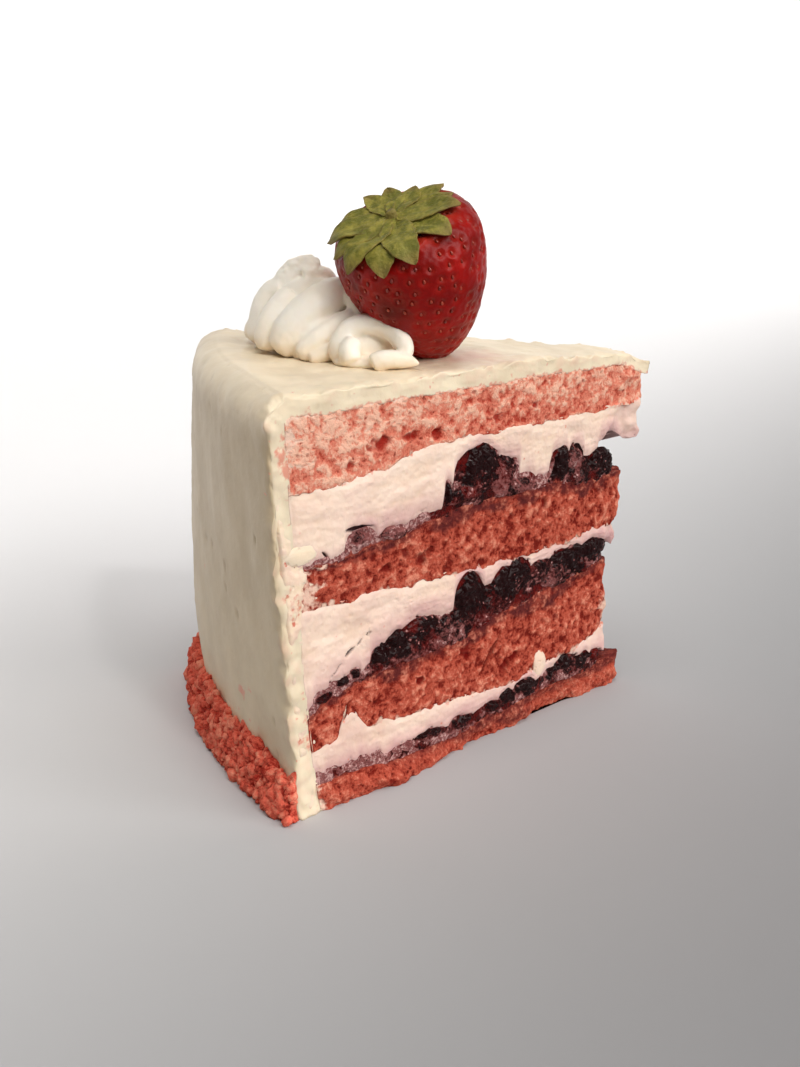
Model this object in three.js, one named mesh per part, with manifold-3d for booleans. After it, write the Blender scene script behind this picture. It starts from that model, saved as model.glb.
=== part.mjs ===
// A slice of red velvet layer cake: four sponges, three creams and three layers of dark berry
// compote under a coat of ivory icing, with crumbs pressed round its foot, a piped cream swirl
// and a whole strawberry on top. Millimetres, +Z up. The slice's middle line lies along X, with
// its point towards +X and the iced rim of the cake towards -X; it stands on z = 0.
import * as THREE from "three";
import Module from "manifold-3d";
import { mergeVertices } from "three/addons/utils/BufferGeometryUtils.js";

const wasm = await Module();
wasm.setup();

// Driving dimensions
const CAKE_RADIUS = 115;
const SLICE_ANGLE = THREE.MathUtils.degToRad(43.6);
const CAKE_HEIGHT = 92.5;
const COAT = 4.6; // side icing
const APEX_X = 61.5; // the middle of the whole cake, where both cuts meet
const GAP = 0.4; // air between touching pieces
const RIM_ROUND = 6; // radius of the icing's top edge
const RIM_LEAN = 10; // how far the near corner of the rim leans out at the top
const BERRY_PROUD = 1.3; // how far a cut berry stands out of the cut face
const HALF = SLICE_ANGLE / 2;

const COLOURS = {
  sponge: { color: 0xb8503c, roughness: 0.95, metalness: 0 },
  cream: { color: 0xe9d2cd, roughness: 0.6, metalness: 0 },
  jam: { color: 0x2a0a16, roughness: 0.2, metalness: 0 },
  icing: { color: 0xf0e4c8, roughness: 0.55, metalness: 0 },
  crumbs: { color: 0xa8321f, roughness: 0.95, metalness: 0 },
  whipped: { color: 0xf4e6d2, roughness: 0.5, metalness: 0 },
  fruit: { color: 0x8e1210, roughness: 0.35, metalness: 0 },
  leaf: { color: 0x6f7a2c, roughness: 0.7, metalness: 0 },
};

// ---------------------------------------------------------------- small helpers

const clamp = (t) => Math.min(1, Math.max(0, t));
const mix = (a, b, t) => a + (b - a) * t;
const ease = (t) => clamp(t) ** 2 * (3 - 2 * clamp(t));
const bump = (x, middle, reach) => ease(1 - Math.abs(x - middle) / reach);

/** A smooth height along a cut: eased steps between [distance in from the rim, height] stops. */
function profile(stops) {
  return (x) => {
    if (x <= stops[0][0]) return stops[0][1];
    for (let i = 1; i < stops.length; i++) {
      const [x0, z0] = stops[i - 1];
      const [x1, z1] = stops[i];
      if (x <= x1) return mix(z0, z1, ease((x - x0) / (x1 - x0)));
    }
    return stops[stops.length - 1][1];
  };
}

/** Smooth repeatable unevenness between -1 and 1. */
function unevenness(x, y, z, seed) {
  return (
    0.5 * Math.sin(0.71 * x + 0.37 * z + 1.7 * seed) * Math.cos(0.53 * y + 0.91 * z + seed) +
    0.3 * Math.sin(1.31 * y - 1.13 * z + 2.3 * seed) * Math.cos(1.47 * x + 0.6 * seed) +
    0.2 * Math.sin(2.9 * x + 2.3 * y + 2.1 * z + seed)
  );
}

/** Repeatable numbers from 0 to 1. */
function seeded(seed) {
  let state = seed;
  return () => {
    state = (state * 16807) % 2147483647;
    return state / 2147483647;
  };
}

/** The plan point at a distance r from the apex, turned by phi from the middle line. */
const plan = (r, phi) => [APEX_X - r * Math.cos(phi), r * Math.sin(phi)];

/** Distance in from the rim and share of the way from the near cut (0) to the far cut (1). */
function cakePlace(x, y) {
  const r = Math.hypot(APEX_X - x, y);
  const phi = Math.atan2(y, APEX_X - x);
  return { inward: CAKE_RADIUS - r, across: clamp((phi + HALF) / SLICE_ANGLE) };
}

/**
 * A closed mesh from rings of points, with a point at each end. From ring turnedFrom on, the
 * squares are halved along their other diagonal.
 */
function closedLoft(first, rings, last, turnedFrom = Infinity) {
  const n = rings[0].length;
  const positions = [first, ...rings.flat(), last].flat();
  const lastIndex = rings.length * n + 1;
  const faces = [];
  for (let i = 0; i < n; i++) {
    const j = (i + 1) % n;
    faces.push(0, 1 + i, 1 + j);
    const end = 1 + (rings.length - 1) * n;
    faces.push(lastIndex, end + j, end + i);
    for (let k = 0; k + 1 < rings.length; k++) {
      const a = 1 + k * n;
      const b = a + n;
      if (k < turnedFrom) faces.push(a + i, b + i, b + j, a + i, b + j, a + j);
      else faces.push(a + i, b + i, a + j, b + i, b + j, a + j);
    }
  }
  return new THREE.BufferGeometry()
    .setAttribute("position", new THREE.Float32BufferAttribute(positions, 3))
    .setIndex(faces);
}

/** The closed skin of a block whose inside is place(a, b, c), with a, b and c from 0 to 1. */
function blockSkin(place, aStops, bStops, cStops) {
  const positions = [];
  const faces = [];
  const known = new Map();
  const vertex = (i, j, k) => {
    const key = `${i},${j},${k}`;
    if (!known.has(key)) {
      known.set(key, positions.length / 3);
      positions.push(...place(aStops[i], bStops[j], cStops[k]));
    }
    return known.get(key);
  };
  const [na, nb, nc] = [aStops, bStops, cStops].map((stops) => stops.length - 1);
  const side = (n, m, at, flip) => {
    for (let p = 0; p < n; p++)
      for (let q = 0; q < m; q++) {
        const c = [at(p, q), at(p + 1, q), at(p + 1, q + 1), at(p, q + 1)];
        const v = (flip ? c.reverse() : c).map((ijk) => vertex(...ijk));
        faces.push(v[0], v[1], v[2], v[0], v[2], v[3]);
      }
  };
  side(na, nb, (i, j) => [i, j, nc], false);
  side(na, nb, (i, j) => [i, j, 0], true);
  side(na, nc, (i, k) => [i, 0, k], false);
  side(na, nc, (i, k) => [i, nb, k], true);
  side(nb, nc, (j, k) => [na, j, k], false);
  side(nb, nc, (j, k) => [0, j, k], true);
  return new THREE.BufferGeometry()
    .setAttribute("position", new THREE.Float32BufferAttribute(positions, 3))
    .setIndex(faces);
}

const evenStops = (n) => Array.from({ length: n + 1 }, (_, i) => i / n);

/** A geometry as a solid that can be joined and cut. */
function solid(geometry) {
  const bare = geometry.clone();
  for (const name of ["normal", "uv"]) bare.deleteAttribute(name);
  const merged = mergeVertices(bare, 1e-4);
  return new wasm.Manifold(
    new wasm.Mesh({
      numProp: 3,
      vertProperties: new Float32Array(merged.attributes.position.array),
      triVerts: new Uint32Array(merged.index.array),
    }),
  );
}

/** The largest body of a solid, as a geometry. */
function geometryOf(body) {
  const largest = body.decompose().sort((a, b) => b.volume() - a.volume())[0];
  const mesh = largest.getMesh();
  return new THREE.BufferGeometry()
    .setAttribute("position", new THREE.BufferAttribute(new Float32Array(mesh.vertProperties), 3))
    .setIndex(new THREE.BufferAttribute(new Uint32Array(mesh.triVerts), 1));
}

const slice = new THREE.Group();

function addPiece(name, geometry, look) {
  geometry.computeVertexNormals();
  const mesh = new THREE.Mesh(geometry, new THREE.MeshStandardMaterial(look));
  mesh.name = name;
  slice.add(mesh);
}

/**
 * The slice isn't a true wedge: its rim stands out of the cake's circle, most of all at the top
 * of the near corner, and flares at the foot. A point moves out by the more the nearer the rim.
 */
function lean([x, y, z]) {
  const r = Math.hypot(APEX_X - x, y);
  const phi = Math.atan2(y, APEX_X - x);
  const nearness = clamp((HALF - phi) / SLICE_ANGLE);
  const rise = clamp(z / CAKE_HEIGHT);
  const swell =
    RIM_LEAN * rise ** 0.7 * nearness ** 3 +
    2.4 * Math.sin(Math.PI * rise ** 0.8) * (1 - nearness ** 2) -
    1.8 * (1 - rise) * Math.sin(Math.PI * nearness) +
    0.5 * unevenness(40 * phi, 20 * phi, 0.18 * z, 9);
  const weight = ease((r - 35) / (CAKE_RADIUS - 35));
  return [...plan(r + swell * weight, phi), z];
}

// ---------------------------------------------------------------- heights inside the cake

// Each face between two layers, as heights along the near cut and along the far cut.
const LEVELS = {
  icingUnder: {
    near: profile([[0, 86.6], [8, 87.6], [98, 87.4], [114, 83.5]]),
    far: profile([[0, 87], [98, 87.4], [114, 83.5]]),
  },
  topSpongeUnder: {
    near: profile([[0, 72], [14, 72.5], [27, 74], [41, 77], [100, 77], [114, 77.6]]),
    far: profile([[0, 74], [40, 75.5], [114, 77.4]]),
  },
  upperSpongeTop: {
    near: profile([[0, 55.5], [14, 56], [38, 59], [52, 61], [75, 61], [92, 59], [114, 59]]),
    far: profile([[0, 57], [45, 59], [80, 60.5], [114, 59]]),
  },
  upperSpongeUnder: {
    near: profile([[0, 47.2], [20, 47], [38, 46], [62, 45], [83, 45], [100, 46.2]]),
    far: profile([[0, 46], [50, 46.6], [114, 46]]),
  },
  lowerSpongeTop: {
    near: profile([[0, 19.5], [9, 25], [18, 27], [45, 28.5], [64, 32], [78, 34], [99, 36.6]]),
    far: profile([[0, 26], [45, 29], [85, 32.5], [114, 35]]),
  },
  lowerSpongeUnder: {
    near: profile([[0, 14.8], [10, 15.2], [17, 20.5], [22, 15.8], [42, 14.4], [84, 14.4], [107, 19]]),
    far: profile([[0, 15], [55, 14.4], [114, 17]]),
  },
  baseSpongeTop: {
    near: profile([[0, 6.6], [16, 6.4], [42, 5.8], [62, 6], [80, 7], [108, 8.2]]),
    far: profile([[0, 7], [60, 6.4], [114, 8]]),
  },
};

/** Height of a named face at a plan point. */
function level(name, x, y) {
  const { inward, across } = cakePlace(x, y);
  const { near, far } = LEVELS[name];
  return mix(near(inward), far(inward), across);
}

// Cut berries in each compote: distance in from the rim, cut face, radius, rise above the jam.
const BERRIES = {
  upper: [
    { inward: 55, cut: "near", radius: 13, rise: 10.4 },
    { inward: 84, cut: "near", radius: 9, rise: 4 },
    { inward: 30, cut: "far", radius: 9, rise: 6 },
    { inward: 68, cut: "far", radius: 11, rise: 8.5 },
  ],
  middle: [
    { inward: 19, cut: "near", radius: 7, rise: 5.5 },
    { inward: 34, cut: "near", radius: 10.5, rise: 7.4 },
    { inward: 52, cut: "near", radius: 7, rise: 10.2 },
    { inward: 66, cut: "near", radius: 8.5, rise: 10.4 },
    { inward: 40, cut: "far", radius: 9, rise: 7 },
    { inward: 60, cut: "far", radius: 8, rise: 9 },
    { inward: 81, cut: "far", radius: 10, rise: 4 },
  ],
  lower: [
    { inward: 52, cut: "near", radius: 7, rise: 1.6 },
    { inward: 74, cut: "near", radius: 8, rise: 2 },
    { inward: 86, cut: "near", radius: 7, rise: 1.4 },
    { inward: 38, cut: "far", radius: 8, rise: 2 },
    { inward: 78, cut: "far", radius: 9, rise: 2 },
  ],
};
const JAM = {
  upper: { over: "upperSpongeTop", thick: profile([[0, 1.8], [60, 1.8], [86, 5.5], [100, 4.5]]) },
  middle: { over: "lowerSpongeTop", thick: profile([[0, 2.4], [70, 2.4], [82, 7], [100, 4.4]]) },
  lower: { over: "baseSpongeTop", thick: profile([[0, 3.2], [50, 3.6], [100, 3.2]]) },
};
const BERRY_INSET = 1.5; // a cut berry's middle lies this far inside the cut

/** Height of the top of a compote, berries included. */
function jamTop(name, x, y) {
  const { over, thick } = JAM[name];
  let rise = 0;
  for (const berry of BERRIES[name]) {
    const r = CAKE_RADIUS - berry.inward;
    const turn = HALF - BERRY_INSET / r;
    const [bx, by] = plan(r, berry.cut === "near" ? -turn : turn);
    const d = Math.hypot(x - bx, y - by) / berry.radius;
    if (d < 1) rise = Math.max(rise, berry.rise * (1 - d * d) ** 0.6);
  }
  return level(over, x, y) + thick(cakePlace(x, y).inward) + rise;
}

// Where the upper cream has broken away under its hanging point.
const NOTCH = { inward: 101.5, reach: 8, rise: 4 };

function upperCreamUnder(x, y) {
  const { inward } = cakePlace(x, y);
  const missing = bump(inward, NOTCH.inward, NOTCH.reach) * NOTCH.rise;
  return jamTop("upper", x, y) + missing;
}

// ---------------------------------------------------------------- layers

// Stations along each cut and the rim. Every layer has the same ones up to TIP_ZONE of the apex,
// so that touching faces have the same facets, and its own ones from there to its point.
const STATIONS = { near: 21, far: 12, rim: 6, tip: 4 };
const TIP_ZONE = 21;
const RINGS_IN = [0.07, 0.42]; // hidden rings of a layer's top and underside, towards its middle
const WALL = CAKE_RADIUS - COAT - 2 * GAP;

/** The outline of a layer seen from above, whose round point reaches to tipRadius of the apex. */
function layerOutline(tipRadius) {
  const centre = tipRadius / (1 - Math.sin(HALF));
  const round = centre * Math.sin(HALF);
  const tangent = centre * Math.cos(HALF);
  const near = evenStops(STATIONS.near).map((t) => mix(WALL, TIP_ZONE, t));
  const far = evenStops(STATIONS.far).map((t) => mix(TIP_ZONE, WALL, t));
  const between = (TIP_ZONE + tangent) / 2;
  const outline = [];
  const push = (point, normal, cut) => outline.push({ point, normal, cut });
  for (const r of [...near, between])
    push(plan(r, -HALF), [Math.sin(HALF), -Math.cos(HALF)], "near");
  for (let i = 0; i <= STATIONS.tip; i++) {
    const turn = mix(HALF - Math.PI / 2, Math.PI / 2 - HALF, i / STATIONS.tip);
    const normal = [Math.cos(turn), Math.sin(turn)];
    push([APEX_X - centre + round * normal[0], round * normal[1]], normal, "tip");
  }
  for (const r of [between, ...far]) push(plan(r, HALF), [Math.sin(HALF), Math.cos(HALF)], "far");
  for (let i = 1; i < STATIONS.rim; i++) {
    const phi = mix(HALF, -HALF, i / STATIONS.rim);
    push(plan(WALL, phi), [-Math.cos(phi), Math.sin(phi)], "rim");
  }
  return outline;
}

/**
 * A layer between two height functions: rings of its outline run down the side from the top
 * edge, and shrink towards the middle on the hidden faces. proud(place) moves the side out.
 */
function layerGeometry({ top, under, tipRadius, rows, proud, topGap = GAP / 2, underGap = GAP / 2 }) {
  const outline = layerOutline(tipRadius);
  const middle = [APEX_X - 0.62 * CAKE_RADIUS, 0];
  const inner = (share, height, offset) =>
    outline.map(({ point }) => {
      const x = mix(point[0], middle[0], share);
      const y = mix(point[1], middle[1], share);
      return [x, y, height(x, y) + offset];
    });
  const wall = [];
  for (let k = 0; k <= rows; k++)
    wall.push(
      outline.map(({ point: [x, y], normal, cut }) => {
        const share = k / rows;
        const z = mix(top(x, y) - topGap, under(x, y) + underGap, share);
        const { inward } = cakePlace(x, y);
        const out = cut === "rim" ? 0 : proud({ inward, x, y, z, share, cut });
        return [x + normal[0] * out, y + normal[1] * out, z];
      }),
    );
  const rings = [
    ...RINGS_IN.map((share) => inner(share, top, -topGap)).reverse(),
    ...wall,
    ...RINGS_IN.map((share) => inner(share, under, underGap)),
  ];
  const [mx, my] = middle;
  const [first, last] = [[mx, my, top(mx, my) - topGap], [mx, my, under(mx, my) + underGap]];
  // The underside is halved like the top, so that it lies flat on the layer below.
  const leaning = rings.map((ring) => ring.map(lean));
  return closedLoft(lean(first), leaning, lean(last), RINGS_IN.length + rows);
}

const face = (name) => (x, y) => level(name, x, y);

/** The craggy side of a sponge. */
const spongeSide = (seed, amount) => (p) => amount * unevenness(p.x, p.y, p.z, seed);

/** The near foot of the base sponge spreads near the rim and is drawn in towards the tip. */
function baseSide(p) {
  const spread = p.cut === "near" ? 3.6 * bump(p.inward, 26, 22) - 2.6 * bump(p.inward, 86, 20) : 0;
  return spread * ease(p.share + 0.35) + 0.5 * unevenness(p.x, p.y, p.z, 4);
}

/** Compote stands proud of the cut where a berry was cut through. */
const jamSide = (name) => (p) => {
  if (p.cut === "tip") return 0.3;
  const near = BERRIES[name].filter((b) => b.cut === p.cut);
  const swell = Math.max(0, ...near.map((b) => bump(p.inward, b.inward, b.radius)));
  return BERRY_PROUD * swell * Math.sin(Math.PI * p.share) + 0.2 * unevenness(p.x, p.y, p.z, 7);
};

/** Cream smears a little proud, and droops at the point of the upper layer. */
const creamSide = (seed) => (p) => 0.35 * unevenness(p.x, p.y, p.z, seed) + 0.2 * Math.sin(Math.PI * p.share);

const LAYERS = [
  ["sponge_top", "sponge", { top: face("icingUnder"), under: face("topSpongeUnder"),
    tipRadius: 3.4, rows: 3, proud: spongeSide(1, 0.6) }],
  ["cream_upper", "cream", { top: face("topSpongeUnder"), under: upperCreamUnder,
    tipRadius: 4.2, rows: 2, proud: creamSide(2) }],
  ["jam_upper", "jam", { top: (x, y) => jamTop("upper", x, y), under: face("upperSpongeTop"),
    tipRadius: 12.5, rows: 2, proud: jamSide("upper") }],
  ["sponge_upper", "sponge", { top: face("upperSpongeTop"), under: face("upperSpongeUnder"),
    tipRadius: 8.6, rows: 3, proud: spongeSide(3, 0.6) }],
  ["cream_middle", "cream", { top: face("upperSpongeUnder"), under: (x, y) => jamTop("middle", x, y),
    tipRadius: 9.4, rows: 2, proud: creamSide(5), underGap: 0.4 }],
  ["jam_middle", "jam", { top: (x, y) => jamTop("middle", x, y), under: face("lowerSpongeTop"),
    tipRadius: 13, rows: 2, proud: jamSide("middle") }],
  ["sponge_lower", "sponge", { top: face("lowerSpongeTop"), under: face("lowerSpongeUnder"),
    tipRadius: 12.4, rows: 3, proud: spongeSide(6, 0.7) }],
  ["cream_lower", "cream", { top: face("lowerSpongeUnder"), under: (x, y) => jamTop("lower", x, y),
    tipRadius: 10.8, rows: 2, proud: creamSide(8) }],
  ["jam_lower", "jam", { top: (x, y) => jamTop("lower", x, y), under: face("baseSpongeTop"),
    tipRadius: 12.6, rows: 2, proud: jamSide("lower") }],
  ["sponge_base", "sponge", { top: face("baseSpongeTop"), under: () => 0,
    tipRadius: 4.6, rows: 3, proud: baseSide, underGap: 0 }],
];
for (const [name, look, shape] of LAYERS) addPiece(name, layerGeometry(shape), COLOURS[look]);

// ---------------------------------------------------------------- icing

const TOP_SAG = profile([[0, 0], [60, 0.3], [96, 1.8], [117, 6.2]]);
const topHeight = (r) => CAKE_HEIGHT - TOP_SAG(CAKE_RADIUS - r);

const ICING_TIP = 1.4; // the icing's point, from the apex
const SIDE_SHARE = 0.42; // of the sheet's length that runs up the rim
const ROUND_SHARE = 0.1; // and over the round top edge

const FOOT_FLARE = 1.6;

/** The icing's outer face: up the rim, over the round edge and along the top to the point. */
function icingOutside(a) {
  const below = CAKE_HEIGHT - RIM_ROUND;
  if (a <= SIDE_SHARE) {
    const z = below * (a / SIDE_SHARE);
    return [CAKE_RADIUS + FOOT_FLARE * (1 - ease(z / 12)), z];
  }
  if (a <= SIDE_SHARE + ROUND_SHARE) {
    const turn = ((a - SIDE_SHARE) / ROUND_SHARE) * (Math.PI / 2);
    const inwards = RIM_ROUND * (1 - Math.cos(turn));
    return [CAKE_RADIUS - inwards, below + RIM_ROUND * Math.sin(turn)];
  }
  const share = (a - SIDE_SHARE - ROUND_SHARE) / (1 - SIDE_SHARE - ROUND_SHARE);
  const r = mix(CAKE_RADIUS - RIM_ROUND, ICING_TIP, share);
  return [r, topHeight(r)];
}

/** The icing's inner face: up the cake's side and along the top sponge. */
function icingInside(a, phi) {
  const wall = CAKE_RADIUS - COAT;
  const heightAt = (r) => level("icingUnder", ...plan(r, phi)) + GAP;
  if (a <= SIDE_SHARE) return [wall, heightAt(wall) * (a / SIDE_SHARE)];
  if (a <= SIDE_SHARE + ROUND_SHARE) return [wall, heightAt(wall)];
  const share = (a - SIDE_SHARE - ROUND_SHARE) / (1 - SIDE_SHARE - ROUND_SHARE);
  const r = mix(wall, ICING_TIP + 1, share);
  return [r, heightAt(r)];
}

function icingPoint(a, b, c) {
  const phi = mix(-HALF, HALF, b);
  const [r0, z0] = icingInside(a, phi);
  const [r1, z1] = icingOutside(a);
  return lean([...plan(mix(r0, r1, c), phi), mix(z0, z1, c)]);
}

/** Stops along the icing's section: the round edge keeps one inner corner point. */
const icingStops = [
  ...evenStops(9).map((t) => t * SIDE_SHARE),
  ...[0.25, 0.5, 0.75, 1].map((t) => SIDE_SHARE + t * ROUND_SHARE),
  ...evenStops(11).slice(1).map((t) => mix(SIDE_SHARE + ROUND_SHARE, 1, t)),
];
const icingSkin = blockSkin(icingPoint, icingStops, evenStops(11), [0, 1]);
addPiece("icing", geometryOf(solid(icingSkin)), COLOURS.icing);

// ---------------------------------------------------------------- crumbs round the foot

const CRUMB_HEIGHT = profile([[0, 9.4], [0.25, 11.5], [0.6, 12.5], [1, 10]]);
const CRUMB_DEPTH = 2.6;
const CRUMBS = 18;

function crumbBandPoint(a, b, c) {
  const phi = mix(-HALF + 0.006, HALF - 0.006, b);
  const ragged = 1 + 0.22 * unevenness(90 * b, 0, 0, 3);
  const z = CRUMB_HEIGHT(b) * ragged * c;
  const foot = CAKE_RADIUS + FOOT_FLARE * (1 - ease(z / 12)) + GAP;
  const depth = CRUMB_DEPTH * (1 - 0.75 * c) + 0.8 * unevenness(120 * b, 30 * c, 0, 5) + 0.6;
  return lean([...plan(foot + a * Math.max(0.9, depth), phi), z]);
}

function crumbBand() {
  const random = seeded(23);
  const mirrored = (a, b, c) => crumbBandPoint(a, 1 - b, c);
  const lumps = [solid(blockSkin(mirrored, [0, 1], evenStops(26), evenStops(2)))];
  for (let i = 0; i < CRUMBS; i++) {
    const b = clamp((i + 0.5 + 0.7 * (random() - 0.5)) / CRUMBS);
    const c = 0.15 + 0.6 * random();
    const size = 1.3 + 1.3 * random();
    const [x, y, z] = crumbBandPoint(0.75, b, c);
    const crumb = new THREE.IcosahedronGeometry(size, 0)
      .rotateX(6 * random())
      .rotateZ(6 * random())
      .translate(x, y, Math.max(z, size * 0.8));
    lumps.push(solid(crumb));
  }
  return lumps.reduce((whole, lump) => whole.add(lump));
}

/** The icing's solid, and floor space below z = 0, are kept clear of the crumbs. */
const floor = solid(new THREE.BoxGeometry(400, 400, 20).translate(0, 0, -10));

function icingCore() {
  const swollen = (a, b, c) => {
    const phi = mix(-HALF - 0.02, HALF + 0.02, b);
    const z = mix(0, 24, a);
    const outer = CAKE_RADIUS + FOOT_FLARE * (1 - ease(z / 12)) + GAP;
    const [x, y] = lean([...plan(mix(80, outer, c), phi), z]);
    return [x, y, a === 0 ? -1 : z];
  };
  return solid(blockSkin(swollen, evenStops(6), evenStops(11), [0, 1]));
}
addPiece("crumb_band", geometryOf(crumbBand().subtract(icingCore()).subtract(floor)), COLOURS.crumbs);

// ---------------------------------------------------------------- strawberry

const BERRY_LENGTH = 40;
const CROWN_DIP = 3.2; // the hollow the calyx sits in
const BERRY_WIDE = 16.4; // largest radius
const WIDEST = 0.7; // share of the length, from the tip, where it is widest
const BERRY_TIP = new THREE.Vector3(APEX_X - 61.8, -5.6, CAKE_HEIGHT - 1.1);
const BERRY_AXIS = new THREE.Vector3(-0.44, -0.275, 0.855).normalize();
const BERRY_TURN = new THREE.Quaternion().setFromUnitVectors(new THREE.Vector3(0, 0, 1), BERRY_AXIS);

/** Radius of the fruit at a share of its length from the tip: blunt tip, broad shoulders. */
function fruitRadius(share) {
  if (share < WIDEST) return BERRY_WIDE * (1 - (1 - share / WIDEST) ** 1.9) ** 0.72;
  return BERRY_WIDE * Math.max(0, 1 - ((share - WIDEST) / (1 - WIDEST)) ** 2.6) ** 0.55;
}

/** A point of the fruit's skin, standing on its tip, with a slightly lobed section. */
function fruitPoint(share, turn, off = 0) {
  const lobes = 1 + 0.06 * Math.cos(turn + 0.39) + 0.02 * Math.sin(3 * turn + 2 * share);
  const r = fruitRadius(share) * lobes + off;
  const dip = share > 0.9 ? CROWN_DIP * ease((share - 0.9) / 0.1) : 0;
  return new THREE.Vector3(r * Math.cos(turn), r * Math.sin(turn), BERRY_LENGTH * share - dip + off * (2 * share - 1));
}

const placed = (v) => v.clone().applyQuaternion(BERRY_TURN).add(BERRY_TIP).toArray();

function fruitGeometry(rows, columns, off = 0) {
  const rings = [];
  for (let k = 1; k < rows; k++) {
    const share = 0.5 - 0.5 * Math.cos((Math.PI * k) / rows);
    rings.push(
      Array.from({ length: columns }, (_, i) => {
        const turn = (2 * Math.PI * (i + 0.5 * (k % 2))) / columns;
        const dimple = off ? 0 : 0.45 * ((i + k) % 2);
        return placed(fruitPoint(share, turn, off - dimple));
      }),
    );
  }
  const first = placed(new THREE.Vector3(0, 0, BERRY_LENGTH - CROWN_DIP + off));
  return closedLoft(first, rings.reverse(), placed(new THREE.Vector3(0, 0, -off)));
}

const belowTop = solid(new THREE.BoxGeometry(300, 300, 60).translate(0, 0, CAKE_HEIGHT + GAP - 30));
addPiece("strawberry", geometryOf(solid(fruitGeometry(16, 26)).subtract(belowTop)), COLOURS.fruit);

// ---------------------------------------------------------------- calyx

const SEPALS = 10;
const SEPAL_REACH = 18; // along the skin, from the middle of the crown
const LEAF_THICK = 0.7;
const LEAF_AIR = 0.55; // between the leaf and the fruit

/** Share of the fruit's length at a distance along its skin from the middle of the crown. */
function skinShare(along) {
  let walked = 0;
  let before = fruitPoint(1, 0);
  for (let share = 0.995; share > 0.4; share -= 0.005) {
    const here = fruitPoint(share, 0);
    walked += here.distanceTo(before);
    if (walked >= along) return share;
    before = here;
  }
  return 0.4;
}

/** A point at a height over the fruit's skin. */
function overSkin(share, turn, height) {
  const here = fruitPoint(share, turn);
  const lower = fruitPoint(Math.max(share - 0.02, 0), turn);
  const upper = fruitPoint(Math.min(share + 0.02, 1), turn);
  const slope = upper.sub(lower);
  const outwards = new THREE.Vector3(Math.cos(turn), Math.sin(turn), 0);
  const drop = slope.dot(outwards);
  const normal = outwards.multiplyScalar(slope.z).setZ(-drop).normalize();
  return here.addScaledVector(normal, height);
}

/** Length of the calyx at a turn: pointed sepals with notches between them. */
function sepalLength(turn) {
  const place = (turn * SEPALS) / (2 * Math.PI);
  const toNotch = 1 - Math.abs((place % 1) - 0.5) * 2; // 1 on a sepal's middle line
  const own = 0.76 + 0.16 * Math.cos(turn + 1.95) + 0.08 * Math.sin(2.4 * Math.floor(place) + 1);
  return SEPAL_REACH * (0.42 + 0.58 * own * toNotch ** 0.7);
}

/** The leaf lies over the shoulder, waves across and lifts at its points. */
function calyxPoint(outward, turn, thick) {
  const along = outward * sepalLength(turn);
  const flat = along / SEPAL_REACH;
  const wave = 0.2 * flat * (1 + Math.sin(SEPALS * turn + 4 * flat));
  const lift = 0.3 * flat ** 3 * (1 + Math.sin(2 * turn));
  return placed(overSkin(skinShare(along), turn, LEAF_AIR + wave + lift + thick));
}

function calyxGeometry() {
  const columns = SEPALS * 6;
  const stops = [0.16, 0.44, 0.74, 1];
  const ring = (outward, thick) =>
    Array.from({ length: columns }, (_, i) =>
      calyxPoint(outward, (2 * Math.PI * (i + 0.5)) / columns, thick),
    );
  const rings = [
    ...stops.map((stop) => ring(stop, LEAF_THICK)),
    ...stops.map((stop) => ring(stop, 0)).reverse(),
  ];
  const crown = (height) => placed(new THREE.Vector3(0, 0, BERRY_LENGTH - CROWN_DIP + height));
  return closedLoft(crown(LEAF_AIR + LEAF_THICK), rings, crown(LEAF_AIR));
}
addPiece("calyx", calyxGeometry(), COLOURS.leaf);

// ---------------------------------------------------------------- cream swirl

// The swirl's own frame: its middle on the icing, along the front of it, out from it, and up.
const SWIRL = new THREE.Vector3(APEX_X - 90.5, 5, CAKE_HEIGHT);
const ALONG = new THREE.Vector3(0.926, -0.377, 0);
const FORWARD = new THREE.Vector3(-0.377, -0.926, 0);

const swirlPoint = ([along, forward, up]) =>
  SWIRL.clone().addScaledVector(ALONG, along).addScaledVector(FORWARD, forward).setZ(SWIRL.z + up);

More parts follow.
